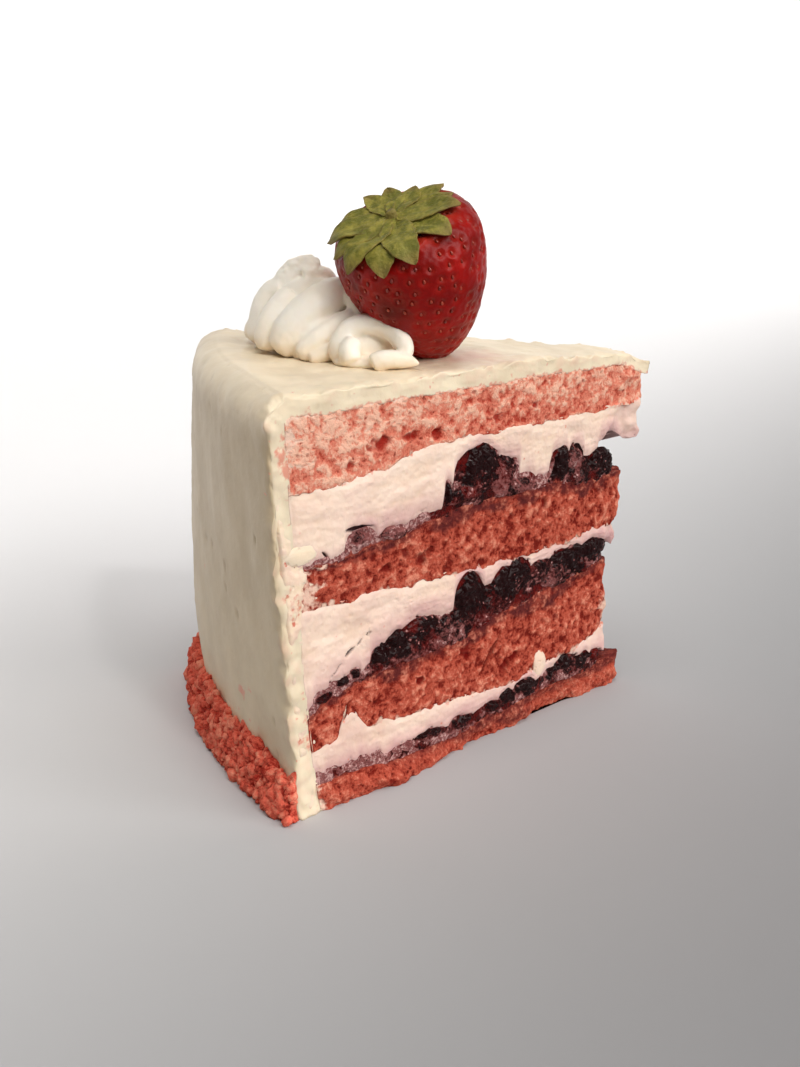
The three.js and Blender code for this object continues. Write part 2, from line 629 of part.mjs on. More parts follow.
// Piped folds, as [along, forward, up, radius] from end to end.
const FOLDS = {
  peak: [[-0.4, -2, 12, 6], [-0.8, -2, 16.6, 4.2], [-1.4, -2, 19, 2.6], [-1, -2.4, 20.4, 0.9]],
  crown: [[6, -5, 11, 3], [4.6, -3, 15, 3.2], [1, -1, 16.4, 3.2], [-3, -2, 14.6, 3.2], [-6, -3, 11, 2.8]],
  broad: [[8.8, -1, 15, 2.6], [6, 3, 12.2, 4], [2, 6.4, 8.4, 4.4], [-2.6, 8, 4.6, 4], [-6, 9.6, 1, 2.4]],
  second: [[12.4, 4, 9.8, 2.2], [7.4, 8, 8, 3], [1, 10, 4, 2.8], [-1, 11.6, 0.8, 2]],
  arch: [[7, 18, 0.8, 2.6], [7.4, 16.4, 5, 3.2], [12.6, 16.6, 8, 3.2], [18.4, 18.6, 6.8, 3], [22.4, 21, 2.4, 2.4]],
  lobe: [[11.6, 21, 0.8, 2.4], [10.4, 19.6, 2.8, 2.8], [13, 18, 4.6, 2.6]],
  tail: [[15.6, 24, 0.8, 2.6], [18.4, 23.4, 2, 2.8], [22, 22, 1.4, 2.2], [26, 20.4, 0.6, 0.5]],
  left: [[-3.6, 2, 12, 3.6], [-7, 1.6, 8.4, 3.8], [-9, 2.4, 2.4, 3.4]],
  side: [[-4, -5, 11, 3.4], [-8, -7, 6.6, 3.8], [-11.6, -9, 1.2, 2.4]],
  back: [[-2, -8, 10.4, 3.6], [-5, -13, 6, 4.2], [-7, -16, 0.8, 3]],
  hind: [[2, -8, 10.6, 3.2], [2.4, -13, 6, 4.2], [2.4, -16.6, 0.8, 3]],
  far: [[5.6, -7, 9, 3], [9.4, -11, 5, 3.8], [11.6, -13.6, 0.8, 2.8]],
};
// Rounded bodies under the folds: middle and half-sizes along, forward and up.
const BODIES = [
  { middle: [0.5, -2, 5], half: [10, 12, 8.6] },
  { middle: [6, 10, 2.4], half: [6.6, 9, 5.4] },
  { middle: [13.5, 18, 2], half: [9, 5, 4.4] },
];
// Fold sections are set square to this line, which no fold runs along.
const FOLD_SIDE = new THREE.Vector3(0.31, 0.87, 0.38).normalize();

/** A piped fold: a round, tapering rope along a smooth line, rounded off at both ends. */
function fold(stations) {
  const columns = 8;
  const steps = Math.round((stations.length - 1) * 1.5);
  const line = new THREE.CatmullRomCurve3(stations.map(swirlPoint));
  const radius = (t) => {
    const at = t * (stations.length - 1);
    const i = Math.min(Math.floor(at), stations.length - 2);
    return mix(stations[i][3], stations[i + 1][3], ease(at - i));
  };
  const rings = [];
  for (let k = 0; k <= steps; k++) {
    const t = k / steps;
    const along = line.getTangent(t);
    const sideways = new THREE.Vector3().crossVectors(along, FOLD_SIDE).normalize();
    const upward = new THREE.Vector3().crossVectors(sideways, along);
    rings.push(
      Array.from({ length: columns }, (_, i) => {
        const angle = (2 * Math.PI * i) / columns;
        return line.getPoint(t)
          .addScaledVector(sideways, radius(t) * Math.cos(angle))
          .addScaledVector(upward, radius(t) * Math.sin(angle))
          .toArray();
      }),
    );
  }
  const end = (t, way) =>
    line.getPoint(t).addScaledVector(line.getTangent(t), way * 0.6 * radius(t)).toArray();
  return solid(closedLoft(end(0, -1), rings, end(1, 1)));
}
/** The fruit with the air it needs round it. */
const fruitClear = solid(fruitGeometry(20, 32, 1));

/** The whole swirl: rounded bodies under its folds, kept clear of the icing and the fruit. */
function swirl() {
  const turn = Math.atan2(ALONG.y, ALONG.x);
  const bodies = BODIES.map(({ middle, half }) => {
    const place = swirlPoint(middle);
    const ball = new THREE.SphereGeometry(1, 14, 8).rotateX(Math.PI / 2);
    return solid(ball.scale(...half).rotateZ(turn).translate(place.x, place.y, place.z));
  });
  const parts = [...bodies, ...Object.values(FOLDS).map(fold)];
  return parts.reduce((whole, part) => whole.add(part)).subtract(belowTop).subtract(fruitClear);
}
addPiece("cream_swirl", geometryOf(swirl()), COLOURS.whipped);

// The slice stands with the middle of its footprint at the origin.
slice.position.set(-1.3, 1, 0);

export default slice;
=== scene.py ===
"""A slice of red velvet layer cake, dressed for its portrait.

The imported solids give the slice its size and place. Every visible surface is worked out again
here with numpy at a finer scale: cut crumb with its pores, cream dragged by the knife, wet
berries, spatula-smoothed icing, piped cream, a whole strawberry with its seeds and leaf.

Lengths are in millimetres in the slice's own construction frame until a mesh is made: +X runs
to the slice's point, -Y is the cut that faces the camera, and Z is up.
"""

from __future__ import annotations

import logging
import math
from collections.abc import Callable
from dataclasses import dataclass, field
from enum import Enum

import bmesh
import bpy
import numpy as np
from mathutils import Matrix, Vector

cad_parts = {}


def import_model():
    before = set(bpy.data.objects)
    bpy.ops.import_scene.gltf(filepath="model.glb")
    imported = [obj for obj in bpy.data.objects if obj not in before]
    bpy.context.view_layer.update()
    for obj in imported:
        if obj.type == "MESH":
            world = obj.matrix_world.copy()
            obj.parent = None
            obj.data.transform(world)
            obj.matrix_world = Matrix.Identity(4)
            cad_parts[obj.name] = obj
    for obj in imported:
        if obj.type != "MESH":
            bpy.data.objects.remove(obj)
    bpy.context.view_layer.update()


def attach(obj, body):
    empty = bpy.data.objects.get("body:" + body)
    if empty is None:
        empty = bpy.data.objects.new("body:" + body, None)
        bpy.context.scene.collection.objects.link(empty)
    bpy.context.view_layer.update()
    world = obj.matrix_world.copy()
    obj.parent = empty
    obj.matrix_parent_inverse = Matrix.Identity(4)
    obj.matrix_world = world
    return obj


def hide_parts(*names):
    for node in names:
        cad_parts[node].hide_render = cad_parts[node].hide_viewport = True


LOG = logging.getLogger("cake")
MM = 0.001
PLACE = np.array([-1.3, 1.0, 0.0])  # the construction frame's place in the part's frame

Array = np.ndarray
Height = Callable[[Array, Array], Array]
Triple = tuple[float, float, float]
Look = bpy.types.Material
Piece = bpy.types.Object
Node = bpy.types.Node
Socket = bpy.types.NodeSocket

NO_QUADS = np.zeros((0, 4), int)
NO_TRIS = np.zeros((0, 3), int)


# ------------------------------------------------------------------ noise and easing


def ease(t: Array | float) -> Array:
    """Smooth step: 3t^2 - 2t^3 of t held between 0 and 1."""
    t = np.clip(t, 0.0, 1.0)
    return t * t * (3.0 - 2.0 * t)


def mix(a: Array | float, b: Array | float, t: Array | float) -> Array:
    """Straight blend from a at t = 0 to b at t = 1."""
    return a + (b - a) * t


def bump(x: Array, middle: float, reach: float) -> Array:
    """A smooth hump of height 1 at middle, which is gone a reach away."""
    return ease(1.0 - np.abs(x - middle) / reach)


def hashed(cell: Array, seed: int) -> Array:
    """Repeatable numbers from 0 to 1 for whole-number cells: an integer mixing hash.

    Args:
        cell: (..., 3) whole numbers.
        seed: which set of numbers.

    Returns:
        (...) numbers from 0 to 1.
    """
    c = cell.astype(np.int64).astype(np.uint32)
    h = c[..., 0] * np.uint32(73856093) ^ c[..., 1] * np.uint32(19349663)
    h = h ^ c[..., 2] * np.uint32(83492791) ^ np.uint32((seed * 2654435761) & 0xFFFFFFFF)
    for shift, factor in ((16, 0x7FEB352D), (15, 0x846CA68B)):
        h = (h ^ (h >> np.uint32(shift))) * np.uint32(factor)
    return (h ^ (h >> np.uint32(16))).astype(np.float64) / 4294967295.0


def noise(p: Array, size: float, seed: int) -> Array:
    """Smooth value noise: hashed cell corners, blended with eased weights.

    Args:
        p: (..., 3) points.
        size: edge of a cell, in the points' unit.
        seed: which set of numbers.

    Returns:
        (...) values from -1 to 1.
    """
    q = p / size
    cell = np.floor(q)
    w = q - cell
    w = w * w * (3.0 - 2.0 * w)
    total = np.zeros(p.shape[:-1])
    for corner in np.ndindex(2, 2, 2):
        weight = np.ones(p.shape[:-1])
        for axis, on in enumerate(corner):
            weight = weight * (w[..., axis] if on else 1.0 - w[..., axis])
        total += weight * hashed(cell + np.array(corner), seed)
    return 2.0 * total - 1.0


def fractal(p: Array, size: float, octaves: int, seed: int) -> Array:
    """A sum of noises, each half the size and 0.55 of the strength of the one before.

    Args:
        p: (..., 3) points.
        size: the first noise's cell.
        octaves: how many noises.
        seed: which set of numbers.

    Returns:
        (...) values about 0.
    """
    total = np.zeros(p.shape[:-1])
    strength = 1.0
    for k in range(octaves):
        total += strength * noise(p, size / 2**k, seed + 17 * k)
        strength *= 0.55
    return total


def cells(p: Array, size: float, seed: int) -> tuple[Array, Array]:
    """Distance to the nearest of one scattered point for each cell, and that point's number.

    Args:
        p: (..., 3) points.
        size: edge of a cell.
        seed: which scatter.

    Returns:
        The distance as a share of size, and a number from 0 to 1 for the nearest point.
    """
    q = p / size
    base = np.floor(q)
    nearest = np.full(p.shape[:-1], 9.0)
    number = np.zeros(p.shape[:-1])
    for step in np.ndindex(3, 3, 3):
        cell = base + np.array(step) - 1.0
        spot = cell + np.stack([hashed(cell, seed + k) for k in range(3)], -1)
        distance = np.sqrt(((q - spot) ** 2).sum(-1))
        closer = distance < nearest
        number = np.where(closer, hashed(cell, seed + 5), number)
        nearest = np.where(closer, distance, nearest)
    return nearest, number


@dataclass(frozen=True)
class Profile:
    """A smooth height along a line: eased steps between (place, height) stops."""

    stops: tuple[tuple[float, float], ...]

    def __call__(self, x: Array | float) -> Array:
        """The height at x, level beyond the first and last stops.

        Args:
            x: places along the line.

        Returns:
            The heights there.
        """
        xs, zs = np.array(self.stops).T
        x = np.asarray(x, float)
        i = np.clip(np.searchsorted(xs, x, side="right") - 1, 0, len(xs) - 2)
        return mix(zs[i], zs[i + 1], ease((x - xs[i]) / (xs[i + 1] - xs[i])))


# ------------------------------------------------------------------ meshes


def link(name: str, data: bpy.types.ID) -> Piece:
    """Makes an object of a mesh, lamp or camera and links it to the scene.

    Args:
        name: the object's name.
        data: what it shows.

    Returns:
        The object.
    """
    thing = bpy.data.objects.new(name, data)
    bpy.context.scene.collection.objects.link(thing)
    return thing


def paint(mesh: bpy.types.Mesh, marks: Array) -> None:
    """Stores the (n, 4) marks of a mesh's vertices, which its finish reads."""
    layer = mesh.attributes.new("marks", "FLOAT_COLOR", "POINT")
    layer.data.foreach_set("color", marks.astype(np.float32).ravel())


@dataclass
class Skin:
    """Vertices, faces and one four-channel attribute, gathered into one mesh."""

    points: list[Array] = field(default_factory=list)
    quads: list[Array] = field(default_factory=list)
    tris: list[Array] = field(default_factory=list)
    marks: list[Array] = field(default_factory=list)
    count: int = 0

    def add(
        self,
        points: Array,
        marks: Array | None = None,
        quads: Array = NO_QUADS,
        tris: Array = NO_TRIS,
    ) -> None:
        """Adds a body's points and faces, with its marks if it has any.

        Args:
            points: (n, 3) in millimetres.
            marks: (n, 4) values of the mesh's attribute.
            quads: (..., 4) indices into points.
            tris: (..., 3) indices into points.
        """
        self.points.append(points)
        self.quads.append(quads.reshape(-1, 4) + self.count)
        self.tris.append(tris.reshape(-1, 3) + self.count)
        self.marks.append(np.zeros((len(points), 4)) if marks is None else marks)
        self.count += len(points)

    def add_loft(self, first: Array, rings: Array, last: Array, marks: Array | None = None) -> None:
        """Adds a closed loft: a fan at each end, and squares between rings.

        Args:
            first: (3,) end point before the first ring.
            rings: (rows, columns, 3) closed rings.
            last: (3,) end point after the last ring.
            marks: (rows, columns, 4) attribute of the rings.
        """
        rows, columns = rings.shape[:2]
        points = np.vstack([first[None], rings.reshape(-1, 3), last[None]])
        i = np.arange(columns)
        j = (i + 1) % columns
        a = 1 + columns * np.arange(rows - 1)[:, None]
        quads = np.stack([a + i, a + columns + i, a + columns + j, a + j], -1)
        end = 1 + columns * (rows - 1)
        tris = np.vstack(
            [
                np.stack([np.zeros_like(i), 1 + i, 1 + j], -1),
                np.stack([np.full_like(i, len(points) - 1), end + j, end + i], -1),
            ]
        )
        if marks is not None:
            flat = marks.reshape(-1, 4)
            marks = np.vstack([flat[:1], flat, flat[-1:]])
        self.add(points, marks, quads, tris)

    def build(self, name: str, look: Look) -> Piece:
        """Makes the mesh object, smooth shaded, with its place in its mesh, in metres.

        Args:
            name: the piece's name.
            look: its material.

        Returns:
            The linked object.
        """
        points = (np.vstack(self.points) + PLACE) * MM
        quads, tris = np.vstack(self.quads), np.vstack(self.tris)
        mesh = bpy.data.meshes.new(name)
        mesh.vertices.add(len(points))
        mesh.vertices.foreach_set("co", points.astype(np.float32).ravel())
        corners = np.concatenate([quads.ravel(), tris.ravel()]).astype(np.int32)
        mesh.loops.add(len(corners))
        mesh.loops.foreach_set("vertex_index", corners)
        sizes = np.concatenate([np.full(len(quads), 4), np.full(len(tris), 3)]).astype(np.int32)
        mesh.polygons.add(len(sizes))
        starts = np.concatenate([[0], np.cumsum(sizes)[:-1]]).astype(np.int32)
        mesh.polygons.foreach_set("loop_start", starts)
        mesh.polygons.foreach_set("use_smooth", np.full(len(sizes), True))
        mesh.update(calc_edges=True)
        paint(mesh, np.vstack(self.marks))
        mesh.materials.append(look)
        mesh.validate()
        return link(name, mesh)


def tube(line: Array, radius: Array, columns: int, side: Array, section: Height) -> Array:
    """Rings round a line: at each point, radius x section(angle, place) in the square plane.

    Args:
        line: (rows, 3) points of the middle line.
        radius: (rows,) radius at each point.
        columns: points round a ring.
        side: a direction that the line never runs along.
        section: the ring's shape, as a factor of the radius.

    Returns:
        (rows, columns, 3) rings.
    """
    along = np.gradient(line, axis=0)
    along /= np.linalg.norm(along, axis=1, keepdims=True)
    across = np.cross(along, side)
    across /= np.linalg.norm(across, axis=1, keepdims=True)
    upward = np.cross(across, along)
    angle = 2 * np.pi * np.arange(columns) / columns
    place = np.linspace(0, 1, len(line))[:, None]
    r = radius[:, None] * section(angle[None, :], place)
    return (
        line[:, None]
        + (r * np.cos(angle))[..., None] * across[:, None]
        + (r * np.sin(angle))[..., None] * upward[:, None]
    )


def smooth_line(stations: Array, steps: int) -> Array:
    """A Catmull-Rom curve through stations, which may carry more than three numbers each.

    Args:
        stations: (n, k) control values.
        steps: points from each station to the next.

    Returns:
        ((n - 1) * steps + 1, k) values along the curve.
    """
    p = np.vstack([2 * stations[:1] - stations[1:2], stations, 2 * stations[-1:] - stations[-2:-1]])
    t = np.arange(steps)[:, None] / steps
    out = []
    for k in range(len(stations) - 1):
        a, b, c, d = p[k], p[k + 1], p[k + 2], p[k + 3]
        curve = 2 * b + (c - a) * t + (2 * a - 5 * b + 4 * c - d) * t**2
        out.append(0.5 * (curve + (3 * b - a - 3 * c + d) * t**3))
    return np.vstack([*out, stations[-1:]])


# ------------------------------------------------------------------ shader building


class Nodes:
    """Adds nodes to one tree, with sockets set or linked by name."""

    def __init__(self, tree: bpy.types.NodeTree) -> None:
        """Holds the tree that the nodes go in."""
        self.tree = tree

    def add(self, kind: str, settings: dict | None = None, **sockets: object) -> Node:
        """Adds a node.

        Args:
            kind: the node's type, without ShaderNode in front.
            settings: values of its properties.
            **sockets: input names (spaces as underscores, or iN for the Nth input) to values or
                output sockets.

        Returns:
            The new node.
        """
        node = self.tree.nodes.new(kind if kind.startswith("Node") else "ShaderNode" + kind)
        for key, value in (settings or {}).items():
            setattr(node, key, value)
        for key, value in sockets.items():
            place = int(key[1:]) if key[0] == "i" and key[1:].isdigit() else key.replace("_", " ")
            if isinstance(value, bpy.types.NodeSocket):
                self.tree.links.new(value, node.inputs[place])
            else:
                node.inputs[place].default_value = value
        return node

    def maths(self, operation: str, a: object, b: object) -> Socket:
        """A Math node's result for two numbers."""
        return self.add("Math", {"operation": operation}, i0=a, i1=b).outputs[0]

    def plus(self, a: object, b: object) -> Socket:
        """The sum a + b."""
        return self.maths("ADD", a, b)

    def minus(self, a: object, b: object) -> Socket:
        """The difference a - b."""
        return self.maths("SUBTRACT", a, b)

    def times(self, a: object, b: object) -> Socket:
        """The product a * b."""
        return self.maths("MULTIPLY", a, b)

    def blend(self, factor: object, a: object, b: object) -> Socket:
        """Colours a and b mixed by a factor."""
        settings = {"data_type": "RGBA", "blend_type": "MIX", "clamp_factor": True}
        return self.add("Mix", settings, i0=factor, i6=a, i7=b).outputs[2]

    def ramp(self, value: object, low: float, high: float, start: float = 0.0, end: float = 1.0) -> Socket:
        """A value's smooth rise from start at low to end at high."""
        settings = {"interpolation_type": "SMOOTHSTEP"}
        return self.add("MapRange", settings, i0=value, i1=low, i2=high, i3=start, i4=end).outputs[0]

    def noise(self, where: object, scale: float, detail: float = 3.0, rough: float = 0.55) -> Socket:
        """A noise texture's value."""
        node = self.add("TexNoise", None, Vector=where, Scale=scale, Detail=detail, Roughness=rough)
        return node.outputs[0]

    def cell(self, where: object, scale: float) -> Socket:
        """A Voronoi texture's distance to the nearest point."""
        node = self.add("TexVoronoi", {"feature": "F1"}, Vector=where, Scale=scale, Randomness=1.0)
        return node.outputs[0]


@dataclass
class Group:
    """A shader node group in the making, read at its Place times its Size."""

    name: str
    outputs: tuple[str, ...]
    inputs: dict[str, float] = field(default_factory=dict)

    def __post_init__(self) -> None:
        """Makes the sockets, the nodes at both ends and the place that has been scaled."""
        self.tree = bpy.data.node_groups.new(self.name, "ShaderNodeTree")
        face = self.tree.interface
        face.new_socket("Place", in_out="INPUT", socket_type="NodeSocketVector")
        for key, value in {"Size": 1.0, **self.inputs}.items():
            socket = face.new_socket(key, in_out="INPUT", socket_type="NodeSocketFloat")
            socket.default_value = value
        for key in self.outputs:
            face.new_socket(key, in_out="OUTPUT", socket_type="NodeSocketFloat")
        self.nodes = Nodes(self.tree)
        self.source = self.nodes.add("NodeGroupInput").outputs
        place, size = self.source["Place"], self.source["Size"]
        scaled = self.nodes.add("VectorMath", {"operation": "SCALE"}, i0=place, Scale=size)
        self.place = scaled.outputs[0]

    def done(self, *values: Socket) -> bpy.types.NodeTree:
        """Links the values to the outputs, in their order, and gives the group's tree."""
        self.nodes.add("NodeGroupOutput", None, **dict(zip(self.outputs, values)))
        return self.tree


def rgb(red: int, green: int, blue: int) -> tuple[float, float, float, float]:
    """A colour as it looks on a screen, turned into Blender's linear light.

    Args:
        red: its red, from 0 to 255.
        green: its green.
        blue: its blue.

    Returns:
        The linear colour, with an alpha of 1.
    """
    shares = [v / 255 for v in (red, green, blue)]
    linear = [v / 12.92 if v <= 0.04045 else ((v + 0.055) / 1.055) ** 2.4 for v in shares]
    return (*linear, 1.0)


class Effects:
    """The shader groups that more than one finish uses."""

    def __init__(self) -> None:
        """Builds each group once."""
        self.crumb = self._crumb()
        self.cream = self._cream()

    @staticmethod
    def _crumb() -> bpy.types.NodeTree:
        """Open cake crumb: fine cells and holes, as a tone, a mask of pores and a height.

        Returns:
            The group.
        """
        made = Group("cake crumb", ("Tone", "Pores", "Height"))
        n = made.nodes
        fine = n.noise(made.place, 1500, 4, 0.65)
        broad = n.noise(made.place, 520, 3, 0.6)
        tone = n.plus(n.times(fine, 0.55), n.times(broad, 0.45))
        pores = n.ramp(n.plus(tone, n.times(n.cell(made.place, 900.0), 0.12)), 0.44, 0.36)
        height = n.minus(tone, n.times(pores, 0.35))
        return made.done(tone, pores, height)

    @staticmethod
    def _cream() -> bpy.types.NodeTree:
        """Whipped cream and icing: soft mottling and small air holes.

        Returns:
            The group.
        """
        made = Group("cream body", ("Mottle", "Height"), {"Holes": 0.3})
        n = made.nodes
        mottle = n.noise(made.place, 90, 3, 0.5)
        silk = n.noise(made.place, 700, 3, 0.6)
        hole = n.times(n.ramp(n.cell(made.place, 420.0), 0.24, 0.1), made.source["Holes"])
        return made.done(mottle, n.minus(n.times(silk, 0.4), hole))


@dataclass
class Finish:
    """A material in the making: its nodes, its shader, its marks and the place it is read at."""

    name: str
    roughness: float
    subsurface: float = 0.0
    reach: float = 0.001
    scatter: Triple = (1.0, 0.35, 0.2)
    coat: float = 0.0
    coat_roughness: float = 0.1
    specular: float = 0.5

    def __post_init__(self) -> None:
        """Makes the material and its shader, with the plain numbers on the shader's sockets."""
        self.material = bpy.data.materials.new(self.name)
        self.material.use_nodes = True
        tree = self.material.node_tree
        tree.nodes.clear()
        self.nodes = Nodes(tree)
        self.shader = self.nodes.add(
            "BsdfPrincipled",
            None,
            Roughness=self.roughness,
            Subsurface_Weight=self.subsurface,
            Subsurface_Radius=self.scatter,
            Subsurface_Scale=self.reach,
            Coat_Weight=self.coat,
            Coat_Roughness=self.coat_roughness,
            Specular_IOR_Level=self.specular,
        )
        self.nodes.add("OutputMaterial", None, Surface=self.shader.outputs[0])
        self.place = self.nodes.add("TexCoord").outputs["Object"]
        marks = self.nodes.add("Attribute", {"attribute_name": "marks"})
        self.channels = list(self.nodes.add("SeparateColor", None, i0=marks.outputs["Color"]).outputs)
        self.channels.append(marks.outputs["Alpha"])

    def effect(self, tree: bpy.types.NodeTree, **values: float) -> Node:
        """Places a shared group, read at this material's object coordinates.

        Args:
            tree: the group.
            **values: its inputs.

        Returns:
            The group's node.
        """
        node = self.nodes.add("Group", {"node_tree": tree})
        self.nodes.tree.links.new(self.place, node.inputs["Place"])
        for key, value in values.items():
            node.inputs[key.replace("_", " ")].default_value = value
        return node

    def finish(self, colour: object, height: object, depth: float, roughness: object = None) -> Look:
        """Links the colour, relief and roughness that change over the surface.

        Args:
            colour: the base colour's socket.
            height: the relief's socket.
            depth: how deep a height of 1 is, in metres.
            roughness: a socket, where roughness changes.

        Returns:
            The finished material.
        """
        links = self.nodes.tree.links
        links.new(colour, self.shader.inputs["Base Color"])
        relief = self.nodes.add("Bump", None, Strength=1.0, Distance=depth, Height=height)
        links.new(relief.outputs[0], self.shader.inputs["Normal"])
        if roughness is not None:
            links.new(roughness, self.shader.inputs["Roughness"])
        return self.material


@dataclass(frozen=True)
class SpongeFinish:
    """Cut sponge. Marks: tone, berry stain, cream smear and painted shade in pores and holes."""

    dark: tuple = rgb(122, 30, 20)
    middle: tuple = rgb(192, 86, 66)
    light: tuple = rgb(234, 146, 120)
    pore: tuple = rgb(116, 14, 10)
    stain: tuple = rgb(96, 38, 38)
    cream: tuple = rgb(240, 204, 184)

    def make(self, effects: Effects, name: str) -> Look:
        """Makes the material.

        Args:
            effects: the shared shader groups.
            name: the material's name.

        Returns:
            The material.
        """
        look = Finish(name, 0.95, 0.06, 0.0008, (1.0, 0.3, 0.2), specular=0.12)
        n = look.nodes
        tone, stain, smear, pore = look.channels
        crumb = look.effect(effects.crumb)
        fine = n.times(n.minus(crumb.outputs["Tone"], 0.5), 1.9)
        grain = n.plus(tone, fine)
        colour = n.blend(n.ramp(grain, 0.12, 0.5), self.dark, self.middle)
        colour = n.blend(n.ramp(grain, 0.46, 0.9), colour, self.light)
        # painted shade: pores, holes and cracks are painted towards the pore colour
        shade = n.times(crumb.outputs["Pores"], 0.4)
        colour = n.blend(n.maths("MAXIMUM", shade, pore), colour, self.pore)
        patchy = n.times(stain, n.ramp(grain, 0.9, 0.3, 0.35, 1.0))
        colour = n.blend(patchy, colour, self.stain)
        broken = n.ramp(n.plus(smear, n.times(fine, 0.7)), 0.2, 0.8)
        colour = n.blend(n.times(broken, 0.92), colour, self.cream)
        height = n.times(crumb.outputs["Height"], n.ramp(smear, 0.0, 1.0, 1.0, 0.4))
        return look.finish(colour, height, 0.0011)


@dataclass(frozen=True)
class CreamFinish:
    """Cream and icing. Marks: painted shade (darker and warmer), berry tint, crumb smear and dark speck."""

    body: tuple
    tint: tuple = rgb(212, 166, 164)
    crumb: tuple = rgb(214, 122, 100)
    speck: tuple = rgb(44, 16, 20)
    shade: tuple = rgb(224, 192, 160)
    holes: float = 0.3
    depth: float = 0.0004
    roughness: float = 0.5

    def make(self, effects: Effects, name: str) -> Look:
        """Makes the material.

        Args:
            effects: the shared shader groups.
            name: the material's name.

        Returns:
            The material.
        """
        look = Finish(name, self.roughness, 0.2, 0.0015, (1.0, 0.75, 0.55), specular=0.3)
        n = look.nodes
        shade, tint, crumb, speck = look.channels
        body = look.effect(effects.cream, Holes=self.holes)
        mottle = body.outputs["Mottle"]
        colour = n.blend(n.ramp(mottle, 0.35, 0.7, 0.0, 0.22), self.body, self.shade)
        # painted shade: the first channel blends towards the shade colour
        colour = n.blend(shade, colour, self.shade)
        colour = n.blend(n.times(tint, n.ramp(mottle, 0.3, 0.7, 0.75, 1.1)), colour, self.tint)
        fine = n.minus(n.noise(look.place, 1100, 3), 0.5)
        broken = n.ramp(n.plus(crumb, n.times(fine, 1.4)), 0.25, 0.8)
        colour = n.blend(n.times(broken, n.ramp(crumb, 0.0, 0.25)), colour, self.crumb)
        colour = n.blend(speck, colour, self.speck)
        return look.finish(colour, body.outputs["Height"], self.depth)


@dataclass(frozen=True)
class CompoteFinish:
    """Berries in syrup. Marks: redness, cream haze with painted glints, sponge crumb and how dry it is."""

    black: tuple = rgb(30, 6, 7)
    red: tuple = rgb(92, 14, 11)
    haze: tuple = rgb(142, 84, 82)
    pale: tuple = rgb(214, 168, 164)
    crumb: tuple = rgb(158, 70, 56)

    def make(self, name: str) -> Look:
        """Makes the material.

        Args:
            name: its name.

        Returns:
            The material.
        """
        look = Finish(name, 0.16, coat=0.16, coat_roughness=0.05, specular=0.04)
        n = look.nodes
        red, haze, crumb, dry = look.channels
        fine = n.minus(n.noise(look.place, 1200, 4, 0.65), 0.5)
        reddish = n.ramp(n.plus(red, n.times(fine, 1.6)), 0.25, 0.95)
        colour = n.blend(n.times(reddish, n.ramp(red, 0.0, 0.25)), self.black, self.red)
        haze_and_glint_field = n.plus(haze, n.times(fine, 1.7))
        colour = n.blend(n.times(n.ramp(haze_and_glint_field, 0.2, 0.75), n.ramp(haze, 0.0, 0.25)), colour, self.haze)
        # painted highlight: the highest values, where the glints are, turn pale
        colour = n.blend(n.times(n.ramp(haze_and_glint_field, 0.8, 1.1), n.ramp(haze, 0.1, 0.5)), colour, self.pale)
        grainy = n.ramp(n.plus(crumb, n.times(fine, 1.5)), 0.2, 0.75)
        colour = n.blend(n.times(grainy, n.ramp(crumb, 0.0, 0.3)), colour, self.crumb)
        wet = n.plus(n.noise(look.place, 700, 2, 0.5), n.times(n.noise(look.place, 2400, 2), 0.3))
        grit = n.times(n.noise(look.place, 2200, 2), dry)
        rough = n.plus(0.09, n.times(dry, 0.7))
        return look.finish(colour, n.plus(wet, grit), 0.0009, rough)


# ------------------------------------------------------------------ the slice's form


class Cut(Enum):
    """Which side of the slice a place of an outline is on."""

    NEAR = 0
    TIP = 1
    FAR = 2
    RIM = 3


@dataclass(frozen=True)
class CakeForm:
    """The slice's sizes, shared by every layer."""

    radius: float = 115.0
    half: float = math.radians(21.8)
    height: float = 92.5
    coat: float = 4.6
    apex: float = 61.5
    rim_round: float = 6.0
    rim_lean: float = 10.0
    foot_flare: float = 1.6

    @property
    def wall(self) -> float:
        """The layers' radius, inside the icing."""
        return self.radius - self.coat - 0.1

    def foot(self, z: Array) -> Array:
        """The icing's outer radius at a height: it flares over its lowest 12 mm."""
        return self.radius + self.foot_flare * (1 - ease(z / 12))

    def normal(self, side: int) -> Array:
        """A cut's outward normal, for the near cut (-1) or the far one (1)."""
        return np.array([math.sin(self.half), side * math.cos(self.half), 0.0])

    def plan(self, r: Array, phi: Array) -> tuple[Array, Array]:
        """The plan point at a distance r from the apex, turned by phi from the middle line."""
        return self.apex - r * np.cos(phi), r * np.sin(phi)

    def inward(self, x: Array, y: Array) -> Array:
        """Distance in from the rim."""
        return self.radius - np.hypot(self.apex - x, y)

    def across(self, x: Array, y: Array) -> Array:
        """Share of the way from the near cut (0) to the far cut (1)."""
        return np.clip((np.arctan2(y, self.apex - x) + self.half) / (2 * self.half), 0, 1)

    def lean(self, p: Array) -> Array:
        """Moves points out where the slice stands out of a true wedge.

        The shift grows with the height and towards the near corner, the middle swells, the foot
        is drawn in, and all of it fades from the rim inwards.

        Args:
            p: (..., 3) points of the true wedge.

        Returns:
            (..., 3) points of the real slice.
        """
        x, y, z = p[..., 0], p[..., 1], p[..., 2]
        r = np.hypot(self.apex - x, y)
        phi = np.arctan2(y, self.apex - x)
        near = np.clip((self.half - phi) / (2 * self.half), 0, 1)
        rise = np.clip(z / self.height, 0, 1)
        swell = (
            self.rim_lean * rise**0.7 * near**3
            + 2.4 * np.sin(np.pi * rise**0.8) * (1 - near**2)
            - 1.8 * (1 - rise) * np.sin(np.pi * near)
        )
        swell = swell * ease((r - 35) / (self.radius - 35))
        nx, ny = self.plan(r + swell, phi)
        return np.stack([nx, ny, z], -1)


FORM = CakeForm()


